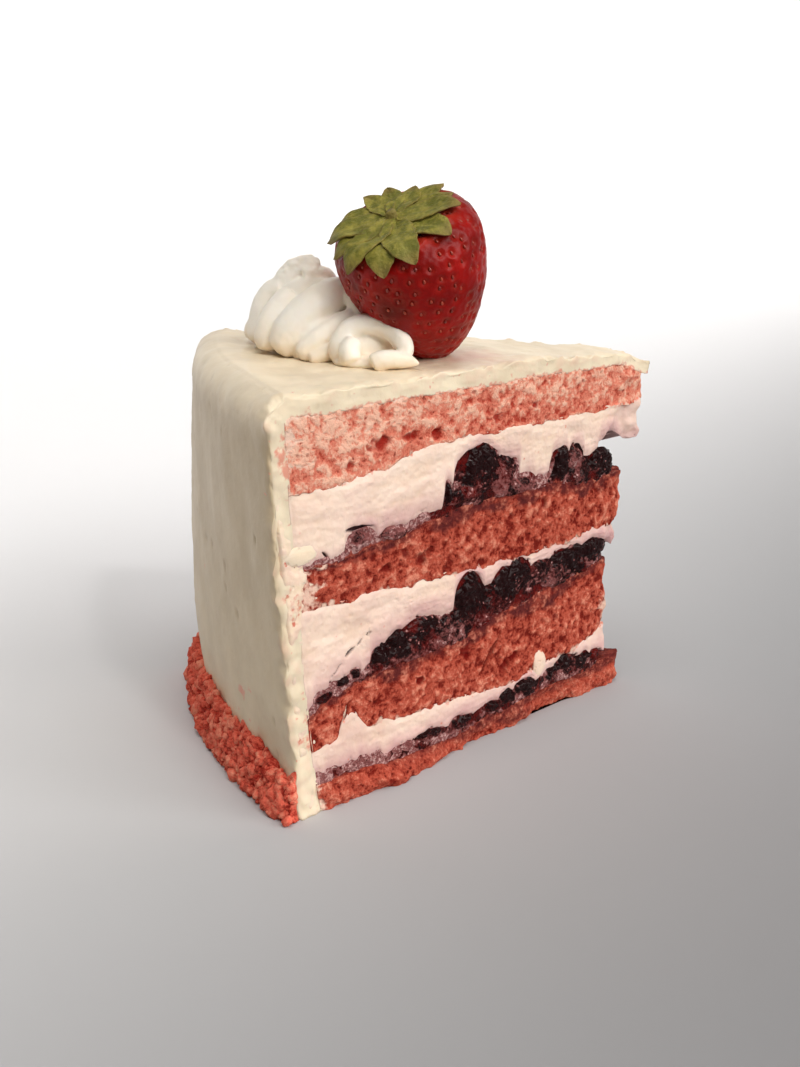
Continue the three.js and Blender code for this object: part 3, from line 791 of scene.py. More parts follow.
@dataclass(frozen=True)
class Berry:
    """A berry that a cut shows: middle along and up the cut, half-sizes, cut, redness and haze."""

    inward: float
    middle: float
    half_width: float
    half_height: float
    cut: Cut = Cut.NEAR
    red: float = 0.0
    haze: float = 0.0


@dataclass(frozen=True)
class Face:
    """A face between two layers: its heights along the near cut and along the far cut."""

    near: Profile
    far: Profile
    ragged: float = 0.5
    seed: int = 0

    def __call__(self, x: Array, y: Array) -> Array:
        """The face's height: a blend from the near cut's to the far cut's, made ragged by noise.

        Args:
            x: plan places towards the point.
            y: plan places away from the near cut.

        Returns:
            The heights.
        """
        inward, across = FORM.inward(x, y), FORM.across(x, y)
        p = np.stack([x, y, np.zeros_like(x)], -1)
        rough = 0.7 * noise(p, 3.6, self.seed) + 0.6 * noise(p, 1.5, self.seed + 1)
        rough = rough + 0.25 * noise(p, 0.8, self.seed + 2)
        return mix(self.near(inward), self.far(inward), across) + self.ragged * rough


FACES = {
    "icing_under": Face(
        Profile(((0, 86.2), (8, 87.4), (40, 87.6), (98, 87.4), (114, 83.5))),
        Profile(((0, 87), (98, 87.4), (114, 83.5))),
        0.5,
        11,
    ),
    "top_sponge_under": Face(
        Profile(((0, 72), (14, 72.5), (27, 74), (41, 77), (65, 76.6), (100, 77), (114, 77.6))),
        Profile(((0, 74), (40, 75.5), (114, 77.4))),
        0.62,
        12,
    ),
    "upper_sponge_top": Face(
        Profile(((0, 55.5), (14, 56), (27, 57), (38, 59), (52, 61), (75, 61), (92, 59), (114, 59))),
        Profile(((0, 57), (45, 59), (80, 60.5), (114, 59))),
        0.5,
        13,
    ),
    "upper_sponge_under": Face(
        Profile(((0, 47.2), (20, 47), (38, 46), (62, 45), (83, 45), (100, 46.2))),
        Profile(((0, 46), (50, 46.6), (114, 46))),
        0.7,
        14,
    ),
    "lower_sponge_top": Face(
        Profile(((0, 19.5), (9, 25), (18, 27), (45, 28.5), (64, 32), (78, 34), (99, 36.6))),
        Profile(((0, 26), (45, 29), (85, 32.5), (114, 35))),
        0.5,
        15,
    ),
    "lower_sponge_under": Face(
        Profile(
            ((0, 14.8), (11, 15.2), (16, 20.4), (21, 16), (42, 14.2), (64, 12.6), (84, 14.4), (107, 19))
        ),
        Profile(((0, 15), (55, 14.4), (114, 17))),
        0.6,
        16,
    ),
    "base_sponge_top": Face(
        Profile(((0, 6.6), (16, 6.0), (29, 4.2), (42, 4.4), (62, 5.6), (80, 7.2), (108, 8.2))),
        Profile(((0, 7), (60, 6.4), (114, 8))),
        0.4,
        17,
    ),
}

BERRIES: dict[str, tuple[Berry, ...]] = {
    "upper": (
        Berry(21.4, 58.8, 4.0, 2.9, red=0.6, haze=0.72),
        Berry(30.0, 59.0, 4.0, 1.4, red=0.6, haze=0.8),
        Berry(44.4, 64.8, 1.5, 3.6),
        Berry(49.6, 64.0, 4.4, 3.6, red=0.9, haze=0.3),
        Berry(53.4, 68.4, 6.4, 6.0),
        Berry(60.2, 65.6, 4.6, 5.4, red=0.6, haze=0.4),
        Berry(67.0, 62.4, 4.6, 2.8, red=0.8, haze=0.62),
        Berry(79.8, 65.0, 3.2, 4.6),
        Berry(85.2, 66.8, 2.8, 2.8, red=0.4, haze=0.9),
        Berry(87.6, 62.8, 4.4, 3.0, red=0.6, haze=0.5),
        Berry(94.8, 63.8, 5.4, 3.2),
        Berry(100.4, 61.6, 3.6, 2.2),
        Berry(30, 61, 6, 4, Cut.FAR),
        Berry(46, 63.5, 6.5, 5.5, Cut.FAR, 0.5),
        Berry(68, 64.5, 8, 6.5, Cut.FAR),
        Berry(84, 63, 5, 4.5, Cut.FAR, 0.6),
    ),
    "middle": (
        Berry(9.4, 26.8, 2.4, 1.3, red=0.3),
        Berry(13.8, 28.6, 1.9, 1.1, red=0.2),
        Berry(17.6, 30.2, 1.5, 1.3),
        Berry(26.0, 31.6, 3.4, 2.6),
        Berry(30.0, 33.0, 3.6, 3.4, red=0.3),
        Berry(36.4, 33.2, 6.2, 4.6, red=1.0, haze=0.16),
        Berry(35.6, 30.8, 9.0, 3.2, red=1.0, haze=0.42),
        Berry(44.6, 33.2, 3.2, 3.2, red=0.5, haze=0.5),
        Berry(50.8, 37.4, 4.2, 7.4),
        Berry(56.0, 34.6, 4.2, 5.4, red=0.35, haze=0.1),
        Berry(57.2, 29.9, 3.2, 1.8, red=1.0),
        Berry(61.8, 37.6, 4.6, 6.0),
        Berry(66.8, 40.4, 4.2, 4.4),
        Berry(74.6, 39.8, 3.6, 2.6, red=0.5, haze=0.36),
        Berry(80.6, 37.4, 5.0, 3.6, red=0.6, haze=0.5),
        Berry(85.0, 41.0, 7.4, 2.8),
        Berry(89.6, 38.0, 2.6, 2.6, red=1.0),
        Berry(94.8, 41.2, 5.6, 2.6),
        Berry(100.2, 41.0, 2.8, 2.0),
        Berry(26, 31, 6, 4, Cut.FAR),
        Berry(42, 33, 7, 5.5, Cut.FAR, 0.6),
        Berry(58, 36, 6, 6, Cut.FAR),
        Berry(74, 37, 7, 4.5, Cut.FAR, 0.5),
        Berry(90, 38.5, 6, 3.5, Cut.FAR),
    ),
    "lower": (
        Berry(38.0, 7.6, 5.4, 1.6, red=0.4, haze=0.2),
        Berry(48.8, 7.6, 3.8, 1.7, red=0.3, haze=0.15),
        Berry(58.6, 8.4, 2.6, 1.4, red=0.3),
        Berry(64.0, 9.2, 2.8, 1.7),
        Berry(71.0, 10.2, 4.0, 2.2),
        Berry(80.0, 10.6, 2.6, 1.6),
        Berry(86.6, 11.6, 4.6, 2.3, red=0.2, haze=0.2),
        Berry(93.0, 11.0, 3.2, 2.0),
        Berry(98.6, 10.6, 3.4, 2.4, red=0.9),
        Berry(38, 9, 5, 2.4, Cut.FAR),
        Berry(56, 9.6, 5, 2.6, Cut.FAR),
        Berry(78, 11, 6, 3, Cut.FAR),
    ),
}
BAND = {
    "upper": Profile(
        ((0, 0.7), (10, 1.4), (20, 1.6), (36, 2.2), (60, 2.4), (76, 3.0), (86, 4.4), (100, 3.6))
    ),
    "middle": Profile(((0, 1.6), (10, 2.8), (24, 3.0), (44, 2.0), (70, 4.0), (82, 5.6), (100, 4.2))),
    "lower": Profile(((0, 3.0), (20, 3.4), (50, 3.4), (84, 3.4), (100, 3.0))),
}
WET = {
    "upper": Profile(((0, 0.0), (38, 0.1), (43, 1.0), (60, 0.9), (68, 0.3), (76, 0.5), (82, 1.0))),
    "middle": Profile(((0, 0.2), (14, 0.5), (26, 0.8), (46, 0.8), (50, 1.0), (110, 0.9))),
    "lower": Profile(((0, 0.25), (20, 0.4), (32, 0.62), (60, 0.8), (110, 0.85))),
}
UNDER_JAM = {"upper": "upper_sponge_top", "middle": "lower_sponge_top", "lower": "base_sponge_top"}
JAM_SEED = {"upper": 31, "middle": 32, "lower": 33}


@dataclass(frozen=True)
class JamTop:
    """The top of a compote: a thin band on the sponge, with the tops of its berries."""

    name: str

    def __call__(self, x: Array, y: Array) -> Array:
        """The height at plan points: the greatest of the band's and each berry's.

        A berry rises by (q fade)^0.6 of its half-height, where q falls as a parabola beside its
        middle and fade does the same with the depth behind its cut.

        Args:
            x: plan places towards the point.
            y: plan places away from the near cut.

        Returns:
            The heights.
        """
        inward, across = FORM.inward(x, y), FORM.across(x, y)
        p = np.stack([x, y, np.zeros_like(x)], -1)
        seed = JAM_SEED[self.name]
        rough = 0.5 * noise(p, 3.1, seed) + 0.45 * noise(p, 1.2, seed + 1)
        top = FACES[UNDER_JAM[self.name]](x, y) + np.maximum(BAND[self.name](inward) + rough, 0.5)
        for berry in BERRIES[self.name]:
            depth = across if berry.cut is Cut.NEAR else 1 - across
            behind = depth * 2 * FORM.half * (FORM.radius - inward) / (1.3 * berry.half_width)
            fade = np.clip(1 - behind**2, 0, 1)
            beside = (inward + 1.0 * noise(p, 3.0, seed + 3) - berry.inward) / (1.12 * berry.half_width)
            q = np.clip(1 - beside**2, 0, 1)
            high = berry.middle + berry.half_height * (q * fade) ** 0.6 + 0.5 * noise(p, 1.9, seed + 2)
            top = np.maximum(top, np.where(q * fade > 0, high, -1.0))
        return top


@dataclass(frozen=True)
class CreamUnder:
    """The underside of the upper cream, whose point hangs free of the berries below."""

    jam: JamTop
    hang: Profile = Profile(((88, 40), (94.5, 69.2), (99, 71.2), (107, 67.8), (114, 68.4)))

    def __call__(self, x: Array, y: Array) -> Array:
        """The jam's top, or the hanging point's own underside where that is higher."""
        return np.maximum(self.jam(x, y), self.hang(FORM.inward(x, y)))


@dataclass
class Outline:
    """A layer's outline seen from above, anticlockwise from the near end of the rim."""

    tip_radius: float
    near_step: float = 0.25
    far_step: float = 0.4

    def __post_init__(self) -> None:
        """Works out the points, their outward normals, sides and distances in from the rim.

        The two cuts are straight and meet in an arc that touches both: for an arc that reaches
        to tip_radius of the apex, its middle is tip_radius / (1 - sin half) from the apex.
        """
        half, wall = FORM.half, FORM.wall
        middle = self.tip_radius / (1 - math.sin(half))
        bend = middle * math.sin(half)
        tangent = middle * math.cos(half)
        near = np.linspace(wall, tangent, int((wall - tangent) / self.near_step))
        far = np.linspace(tangent, wall, int((wall - tangent) / self.far_step))
        sweep = math.pi - 2 * half
        turn = np.linspace(-sweep / 2, sweep / 2, max(6, int(bend * sweep / self.near_step)))[1:-1]
        rim = np.linspace(half, -half, 26)[1:-1]
        parts = []
        for r, side, sign in ((near, Cut.NEAR, -1), (far, Cut.FAR, 1)):
            x, y = FORM.plan(r, np.full_like(r, sign * half))
            normal = np.tile([math.sin(half), sign * math.cos(half)], (len(r), 1))
            parts.append((np.stack([x, y], -1), normal, np.full(len(r), side.value)))
        arc = np.stack([np.cos(turn), np.sin(turn)], -1)
        tip = (np.array([FORM.apex - middle, 0.0]) + bend * arc, arc, np.full(len(turn), Cut.TIP.value))
        x, y = FORM.plan(np.full_like(rim, wall), rim)
        back = (
            np.stack([x, y], -1),
            np.stack([-np.cos(rim), np.sin(rim)], -1),
            np.full(len(rim), Cut.RIM.value),
        )
        ordered = [parts[0], tip, parts[1], back]
        self.points, self.normals, self.side = (np.concatenate(k) for k in zip(*ordered))
        self.inward = FORM.inward(self.points[:, 0], self.points[:, 1])


@dataclass
class Wall:
    """The side of a layer on its outline: (rows, columns) arrays that reliefs are added to."""

    outline: Outline
    top: Height
    under: Height
    step: float = 0.26
    lap: float = 0.3

    def __post_init__(self) -> None:
        """Lays rows evenly from the top face to the underside, a lap over each neighbour."""
        x, y = self.outline.points.T
        top = self.top(x, y) + self.lap
        under = np.maximum(self.under(x, y) - self.lap, 0)
        under = np.minimum(under, top - 0.25)
        self.near = self.outline.side == Cut.NEAR.value
        rows = max(5, int(np.percentile((top - under)[self.near], 85) / self.step))
        self.share = np.linspace(0, 1, rows + 1)[:, None]
        self.z = mix(top[None], under[None], self.share)
        self.x = np.broadcast_to(x, self.z.shape)
        self.y = np.broadcast_to(y, self.z.shape)
        self.p = np.stack([self.x, self.y, self.z], -1)
        self.inward = np.broadcast_to(self.outline.inward, self.z.shape)
        self.side = np.broadcast_to(self.outline.side, self.z.shape)
        self.below_top = top[None] - self.z
        self.above_under = self.z - under[None]
        self.edge = np.minimum(self.below_top, self.above_under)
        self.open = 1.0 - (self.side == Cut.RIM.value)

    def skin(self, out: Array, marks: Array) -> Skin:
        """The layer's closed skin, with its side moved out and its hidden faces closed.

        Args:
            out: (rows, columns) distance along the outline's normal.
            marks: (rows, columns, 4) attribute.

        Returns:
            The skin.
        """
        normal = np.concatenate([self.outline.normals, np.zeros((len(self.outline.normals), 1))], 1)
        side = self.p + normal[None] * (out * self.open)[..., None]
        middle = np.array([FORM.apex - 0.62 * FORM.radius, 0.0])
        rings, tints = [], []
        for share in (0.42, 0.07):
            flat = mix(self.outline.points, middle, share)
            rings.append(np.column_stack([flat, self.top(*flat.T)]))
            tints.append(marks[0])
        rings += list(side)
        tints += list(marks)
        for share in (0.07, 0.42):
            flat = mix(self.outline.points, middle, share)
            rings.append(np.column_stack([flat, self.under(*flat.T)]))
            tints.append(marks[-1])
        mx, my = middle[:1], middle[1:]
        first = np.array([middle[0], 0.0, self.top(mx, my)[0]])
        last = np.array([middle[0], 0.0, self.under(mx, my)[0]])
        skin = Skin()
        skin.add_loft(FORM.lean(first), FORM.lean(np.array(rings)), FORM.lean(last), np.array(tints))
        return skin


def stack(*channels: Array) -> Array:
    """Four channels held between 0 and 1 as one attribute."""
    return np.stack([np.clip(c, 0, 1) for c in channels], -1)


# ------------------------------------------------------------------ layers


def knife(p: Array) -> Array:
    """How far the knife's cut stands out of its plane, the same for every layer it went through."""
    return 0.32 * fractal(p, 11.0, 2, 700) + 0.1 * fractal(p * [0.5, 0.5, 1.5], 3.4, 2, 705)


def from_icing(wall: Wall) -> Array:
    """0 where a layer's cut meets the icing's, so that both lie on the knife's plane, then 1."""
    return ease((wall.inward - 5.0) / 1.2)


def fringe(p: Array) -> Array:
    """Upright streaks from -1.5 to 1.5 that crumb and cream share where the knife drew them out."""
    return noise(p * [1, 1, 0.3], 0.8, 741) + 0.6 * noise(p * [1, 1, 0.45], 1.9, 742)


@dataclass(frozen=True)
class Hole:
    """A large pore that the near cut shows: place along and up the cut, half-sizes and depth."""

    inward: float
    height: float
    half_width: float
    half_height: float
    depth: float = 1.6


@dataclass(frozen=True)
class Slit:
    """A thin crack that the near cut shows, from one (inward, height) to another."""

    start: tuple[float, float]
    end: tuple[float, float]
    width: float = 0.5

    def mask(self, wall: Wall) -> Array:
        """1 in the crack, whose half-width is width x (1.05 - (2t - 1)^2) where t runs along it.

        Args:
            wall: the side that the crack is in.

        Returns:
            (rows, columns) values from 0 to 1.
        """
        a, b = np.array(self.start), np.array(self.end)
        bend = 0.35 * noise(wall.p, 2.0, 77)
        q = np.stack([wall.inward, wall.z + bend], -1) - a
        along = b - a
        t = np.clip((q @ along) / (along @ along), 0, 1)
        away = np.linalg.norm(q - t[..., None] * along, axis=-1)
        reach = self.width * (1.05 - (2 * t - 1) ** 2)
        return ease((reach - away) / 0.3 + 0.3) * wall.near


@dataclass
class Sponge:
    """One sponge of the cake."""

    node: str
    top: Height
    under: Height
    tip_radius: float
    seed: int
    paleness: float = 0.0
    patchy: float = 0.0
    stain_depth: float = 0.0
    stain_share: Profile = Profile(((0, 1.0), (100, 1.0)))
    tip_smear: float = 0.0
    smear_top: float = 0.0
    smear_under: float = 0.5
    smear_rim: float = 6.0
    holes: tuple[Hole, ...] = ()
    slits: tuple[Slit, ...] = ()

    def build(self, look: Look) -> Piece:
        """Builds the layer.

        The side moves out by the knife's unevenness and rounded crumbs, and in by scattered
        pores and the named holes and cracks. Cream smeared by the knife fills it near the rim
        and along its edges.

        Args:
            look: the sponge's material.

        Returns:
            The piece.
        """
        wall = Wall(Outline(self.tip_radius), self.top, self.under)
        p = wall.p
        coarse = fractal(p, 4.6, 2, self.seed)
        grain = fractal(p, 1.6, 3, self.seed + 60)
        lump, _ = cells(p * [1, 1, 1.15], 1.6, self.seed + 40)
        pore_distance, pore_number = cells(p * [1, 1, 1.2], 2.5, self.seed + 80)
        size = 0.1 + 0.34 * np.clip(pore_number - 0.55, 0, 1)
        pore = ease((size - pore_distance + 0.1 * grain) / 0.14) * (pore_number > 0.55)
        painted_hole_shade = np.zeros_like(pore)
        deep = np.zeros_like(pore)
        for hole in self.holes:
            wobble = 1 + 0.55 * noise(p, 1.7, self.seed + 7) + 0.35 * noise(p, 0.8, self.seed + 8)
            q = ((wall.inward - hole.inward) / hole.half_width) ** 2
            q = q + ((wall.z - hole.height) / hole.half_height) ** 2
            mask = ease((1.3 - np.sqrt(q) * wobble) / 0.9) * wall.near
            painted_hole_shade = np.maximum(painted_hole_shade, mask)
            deep = np.maximum(deep, 0.6 * mask * hole.depth)
        for slit in self.slits:
            mask = slit.mask(wall)
            painted_hole_shade = np.maximum(painted_hole_shade, mask)
            deep = np.maximum(deep, 1.3 * mask)
        edge = ease(wall.edge / 0.7) * from_icing(wall)
        relief = 0.12 * coarse + 0.2 * grain + 0.22 * (0.5 - lump) - 0.4 * pore
        drag = fractal(p * [0.6, 0.6, 1.3], 2.8, 3, self.seed + 90)
        streak = fringe(p)
        reach = self.smear_rim - wall.inward + 5.0
        rim = ease((reach + 5.0 * drag) / 6.0) * wall.open
        upper = ease((self.smear_top - wall.below_top + 1.1 * streak) / 1.8)
        lower = ease((self.smear_under - wall.above_under + 1.1 * streak) / 1.8)
        blotch = 0.55 * ease((drag - 0.35) / 0.7) * self.blotches(wall)
        veil = 0.9 * np.clip(rim * (0.6 + 0.6 * grain), 0, 1)
        bared = ease((wall.inward - 98 + 2 * drag) / 4) * bump(wall.below_top, self.tip_smear, 8.0)
        smear = np.clip(veil + 0.8 * np.maximum(upper, lower) + blotch + bared * (self.tip_smear > 0), 0, 1)
        out = knife(p) + edge * relief * (1 - 0.6 * smear) - deep
        tip = ease((wall.inward - 92) / 12)
        out = out + tip * 0.9 * fractal(p, 4.0, 2, self.seed + 21) + 0.8 * bared * (self.tip_smear > 0)
        soaked = self.stain_depth * self.stain_share(wall.inward)
        stain = ease((soaked * (1 + 0.8 * drag) - wall.below_top) / np.maximum(soaked, 0.3) + 0.15)
        pale = self.paleness * ease(1.3 - wall.below_top / 9.0)
        pale = pale + 0.26 * (self.paleness > 0) * ease(1 - wall.inward / 60)
        # painted shade: pores, holes and cracks, which the side sinks, are painted dark, and the tone, lower
        # where the crumb sinks, is partly crumb grain and partly painted shade
        tone = 0.46 + 0.3 * grain + 0.3 * (0.45 - lump) + 0.1 * coarse + pale
        dark = np.maximum(0.6 * pore * edge * (1 - 0.7 * smear), 0.92 * painted_hole_shade)
        marks = stack(tone, 0.92 * stain * (self.stain_depth > 0), smear, dark)
        return wall.skin(out, marks).build(self.node + "_cut", look)

    def blotches(self, wall: Wall) -> Array:
        """How much cream the knife left in patches: most by the rim and along the top."""
        return self.patchy * ease(1.15 - wall.inward / 70) * ease(1.3 - wall.below_top / 10)


@dataclass
class BaseSponge(Sponge):
    """The lowest sponge, whose near foot spreads near the rim and is drawn in at the point."""

    def build(self, look: Look) -> Piece:
        """Builds the layer, with its foot on the table.

        The near side moves out by 3.2 mm round 26 mm from the rim and in by 2.4 mm round 86 mm.

        Args:
            look: the sponge's material.

        Returns:
            The piece.
        """
        wall = Wall(Outline(self.tip_radius), self.top, self.under, 0.24)
        p = wall.p
        broad = fractal(p, 7.0, 3, self.seed)
        lump, _ = cells(p, 1.7, self.seed + 40)
        grain = fractal(p, 1.4, 3, self.seed + 60)
        spread = (3.2 * bump(wall.inward, 26, 22) - 2.4 * bump(wall.inward, 86, 20)) * wall.near
        low = ease(wall.share + 0.35)
        out = knife(p) + spread * low + 0.9 * broad * low + 0.4 * (0.55 - lump) + 0.28 * grain
        under_cut = ease((wall.share - 0.75) / 0.25)
        out = out - 1.2 * under_cut * (0.5 + 0.5 * noise(p, 3.0, self.seed + 5))
        drag = fractal(p * [0.5, 0.5, 1.4], 3.0, 3, self.seed + 90)
        reach = self.stain_depth * (1 + 0.5 * drag) * (0.35 + 1.1 * ease((wall.inward - 20) / 50))
        stain = ease((reach - wall.below_top) / self.stain_depth)
        rim = ease((self.smear_rim - wall.inward + 5.0 + 2.0 * drag) / 3.0) * wall.open
        # painted shade: where the lumps' gaps sink the tone drops, partly crumb grain, and the pore channel
        # paints them dark
        tone = 0.5 + 0.2 * (0.45 - lump) + 0.14 * grain + 0.08 * broad
        marks = stack(tone, 0.8 * stain, rim, 0.5 * ease((lump - 0.7) / 0.2))
        return wall.skin(out, marks).build(self.node + "_cut", look)


@dataclass
class CreamLayer:
    """One filling of cream."""

    node: str
    top: Height
    under: Height
    tip_radius: float
    seed: int
    tint_reach: float = 4.0
    tint_all: float = 0.0
    slits: tuple[Slit, ...] = ()

    def build(self, look: Look) -> Piece:
        """Builds the layer: dragged flat by the knife, with fine ripples and small holes.

        Args:
            look: the cream's material.

        Returns:
            The piece.
        """
        wall = Wall(Outline(self.tip_radius), self.top, self.under, 0.3)
        p = wall.p
        drag = fractal(p * [0.45, 0.45, 1.5], 2.6, 3, self.seed)
        broad = fractal(p, 8.0, 2, self.seed + 3)
        soft = fractal(p, 1.3, 3, self.seed + 9)
        hole_distance, number = cells(p * [0.8, 0.8, 1.3], 2.4, self.seed + 20)
        hole = ease((0.2 - hole_distance) / 0.12) * (number > 0.72)
        swell = 0.25 * ease(wall.edge / 2.0)
        relief = swell + 0.12 * drag + 0.2 * broad + 0.1 * soft - 0.16 * hole
        out = knife(p) + relief * ease(wall.edge / 0.8) * from_icing(wall)
        tip = ease((wall.inward - 92) / 12)
        out = out - 0.14 * ease(1 - wall.edge / 0.6) + tip * 1.1 * fractal(p, 4.6, 2, self.seed + 21)
        near_jam = ease(1.1 - wall.above_under / (self.tint_reach * (1 + 0.5 * broad)))
        tint = 0.6 * near_jam + self.tint_all + 0.14 * broad + 0.3 * tip + 0.1 * soft
        crumbs, crumb_number = cells(p, 2.0, self.seed + 30)
        fleck = ease((0.26 - crumbs) / 0.1) * (crumb_number > 0.93)
        at_sponge = ease((0.9 + 1.1 * fringe(p) - wall.below_top) / 2.0)
        crumb = np.maximum(0.5 * fleck, 0.72 * at_sponge)
        speck = np.zeros_like(tint)
        for slit in self.slits:
            speck = np.maximum(speck, slit.mask(wall))
        bits, bit_number = cells(p, 1.5, self.seed + 36)
        by_jam = ease(1 - wall.above_under / 1.6)
        spots = ease((0.34 - bits) / 0.12) * (bit_number > 0.55) * by_jam * 0.75
        speck = np.maximum(speck, spots)
        out = out - 0.7 * speck
        # painted shade: the first channel darkens the troughs of the knife's drag
        marks = stack(0.3 * ease(-drag), tint, crumb, speck)
        return wall.skin(out, marks).build(self.node + "_cut", look)


@dataclass
class Compote:
    """One layer of berries in syrup."""

    node: str
    name: str
    tip_radius: float
    seed: int

    def berries(self, wall: Wall) -> tuple[Array, Array, Array]:
        """Where the berries show, from 0 to 1, with the redness and haze of the one that does.

        A berry is 1.15 - |q|, steepened, where q is the distance from its middle as a share of
        its half-sizes, read at places that noise has moved, so that no outline is a plain oval.
        Its lower half is redder and hazier, where its juice ran down.

        Args:
            wall: the layer's side.

        Returns:
            The presence, the redness and the haze.
        """
        p = wall.p
        inward = wall.inward + 1.8 * noise(p, 3.6, self.seed + 60) + 0.9 * noise(p, 1.5, self.seed + 62)
        z = wall.z + 1.5 * noise(p, 3.6, self.seed + 61) + 0.8 * noise(p, 1.5, self.seed + 63)
        most, red, haze = (np.zeros(z.shape) for _ in range(3))
        for berry in BERRIES[self.name]:
            on = (wall.side == berry.cut.value) | (wall.side == Cut.TIP.value)
            up = (z - berry.middle) / berry.half_height
            q = np.hypot((inward - berry.inward) / berry.half_width, up)
            high = np.clip(1.15 - q, 0, 1) * on
            low = ease(0.2 - up)
            shown = high > most
            red = np.where(shown, 0.2 + berry.red + 0.45 * low, red)
            haze = np.where(shown, berry.haze + 0.3 * low, haze)
            most = np.maximum(most, high)
        return most, red, haze

    def build(self, look: Look) -> Piece:
        """Builds the layer: crushed bits in syrup, out of which wrinkled berries stand.

        Args:
            look: the compote's material.

        Returns:
            The piece.
        """
        wall = Wall(Outline(self.tip_radius), JamTop(self.name), FACES[UNDER_JAM[self.name]], 0.24)
        p = wall.p
        bit, number = cells(p * [0.9, 0.9, 1.15], 1.9, self.seed)
        small, small_number = cells(p, 1.0, self.seed + 8)
        murk = fractal(p, 3.4, 3, self.seed + 6)
        crease = ease((0.2 - np.abs(noise(p * [1, 1, 0.6], 1.9, self.seed + 4))) / 0.2)
        crease = np.maximum(crease, 0.7 * ease((0.16 - np.abs(noise(p, 1.1, self.seed + 5))) / 0.16))
        shown, red, haze = self.berries(wall)
        body = ease((shown - 0.12) / 0.16)
        wet = WET[self.name](wall.inward)
        edge = ease(wall.edge / 0.5)
        wrinkled = 1.0 * ease(shown / 0.75) - 0.35 * crease + 0.35 * fractal(p, 1.7, 2, self.seed + 12)
        crushed = 0.3 * (0.5 - bit) + 0.25 * (0.5 - small)
        out = knife(p) + edge * mix(crushed, wrinkled, body) - 0.07 * (1 - edge)
        dark = ease((wet + 0.5 * murk + 0.5 * (number - 0.5) - 0.5) / 0.4)
        speck = ease((0.36 - small) / 0.14) * (small_number > 0.8)
        blotch = 0.6 + 0.6 * murk
        redness = mix(0.55 + 0.5 * murk, red * blotch, body)
        # painted highlight: glint paints a few pale spots as wet glints, and the pale specks on the berries
        # partly stand for wet highlights too
        glint = ease((0.24 - small) / 0.08) * (small_number > 0.86)
        berry_haze_and_glint = haze * (0.75 + 0.5 * murk) + speck * (0.3 + 0.4 * (red + haze)) + 0.9 * glint
        haze_and_glint = mix(0.9 - 0.85 * dark + 0.5 * speck, berry_haze_and_glint, body)
        low = ease(1.2 + 1.0 * murk - wall.above_under / 1.0)
        crumb = mix(0.75 * low, 0.0, body) * (1 - 0.5 * wet)
        dry = mix(0.3 + 0.6 * (1 - dark), 0.9 * haze, body)
        return wall.skin(out, stack(redness, haze_and_glint, crumb, dry)).build(self.node + "_cut", look)


@dataclass(frozen=True)
class Dab:
    """A dab of cream on the near cut: place along and up it, half-sizes and height."""

    inward: float
    z: float
    half_width: float
    half_height: float
    high: float


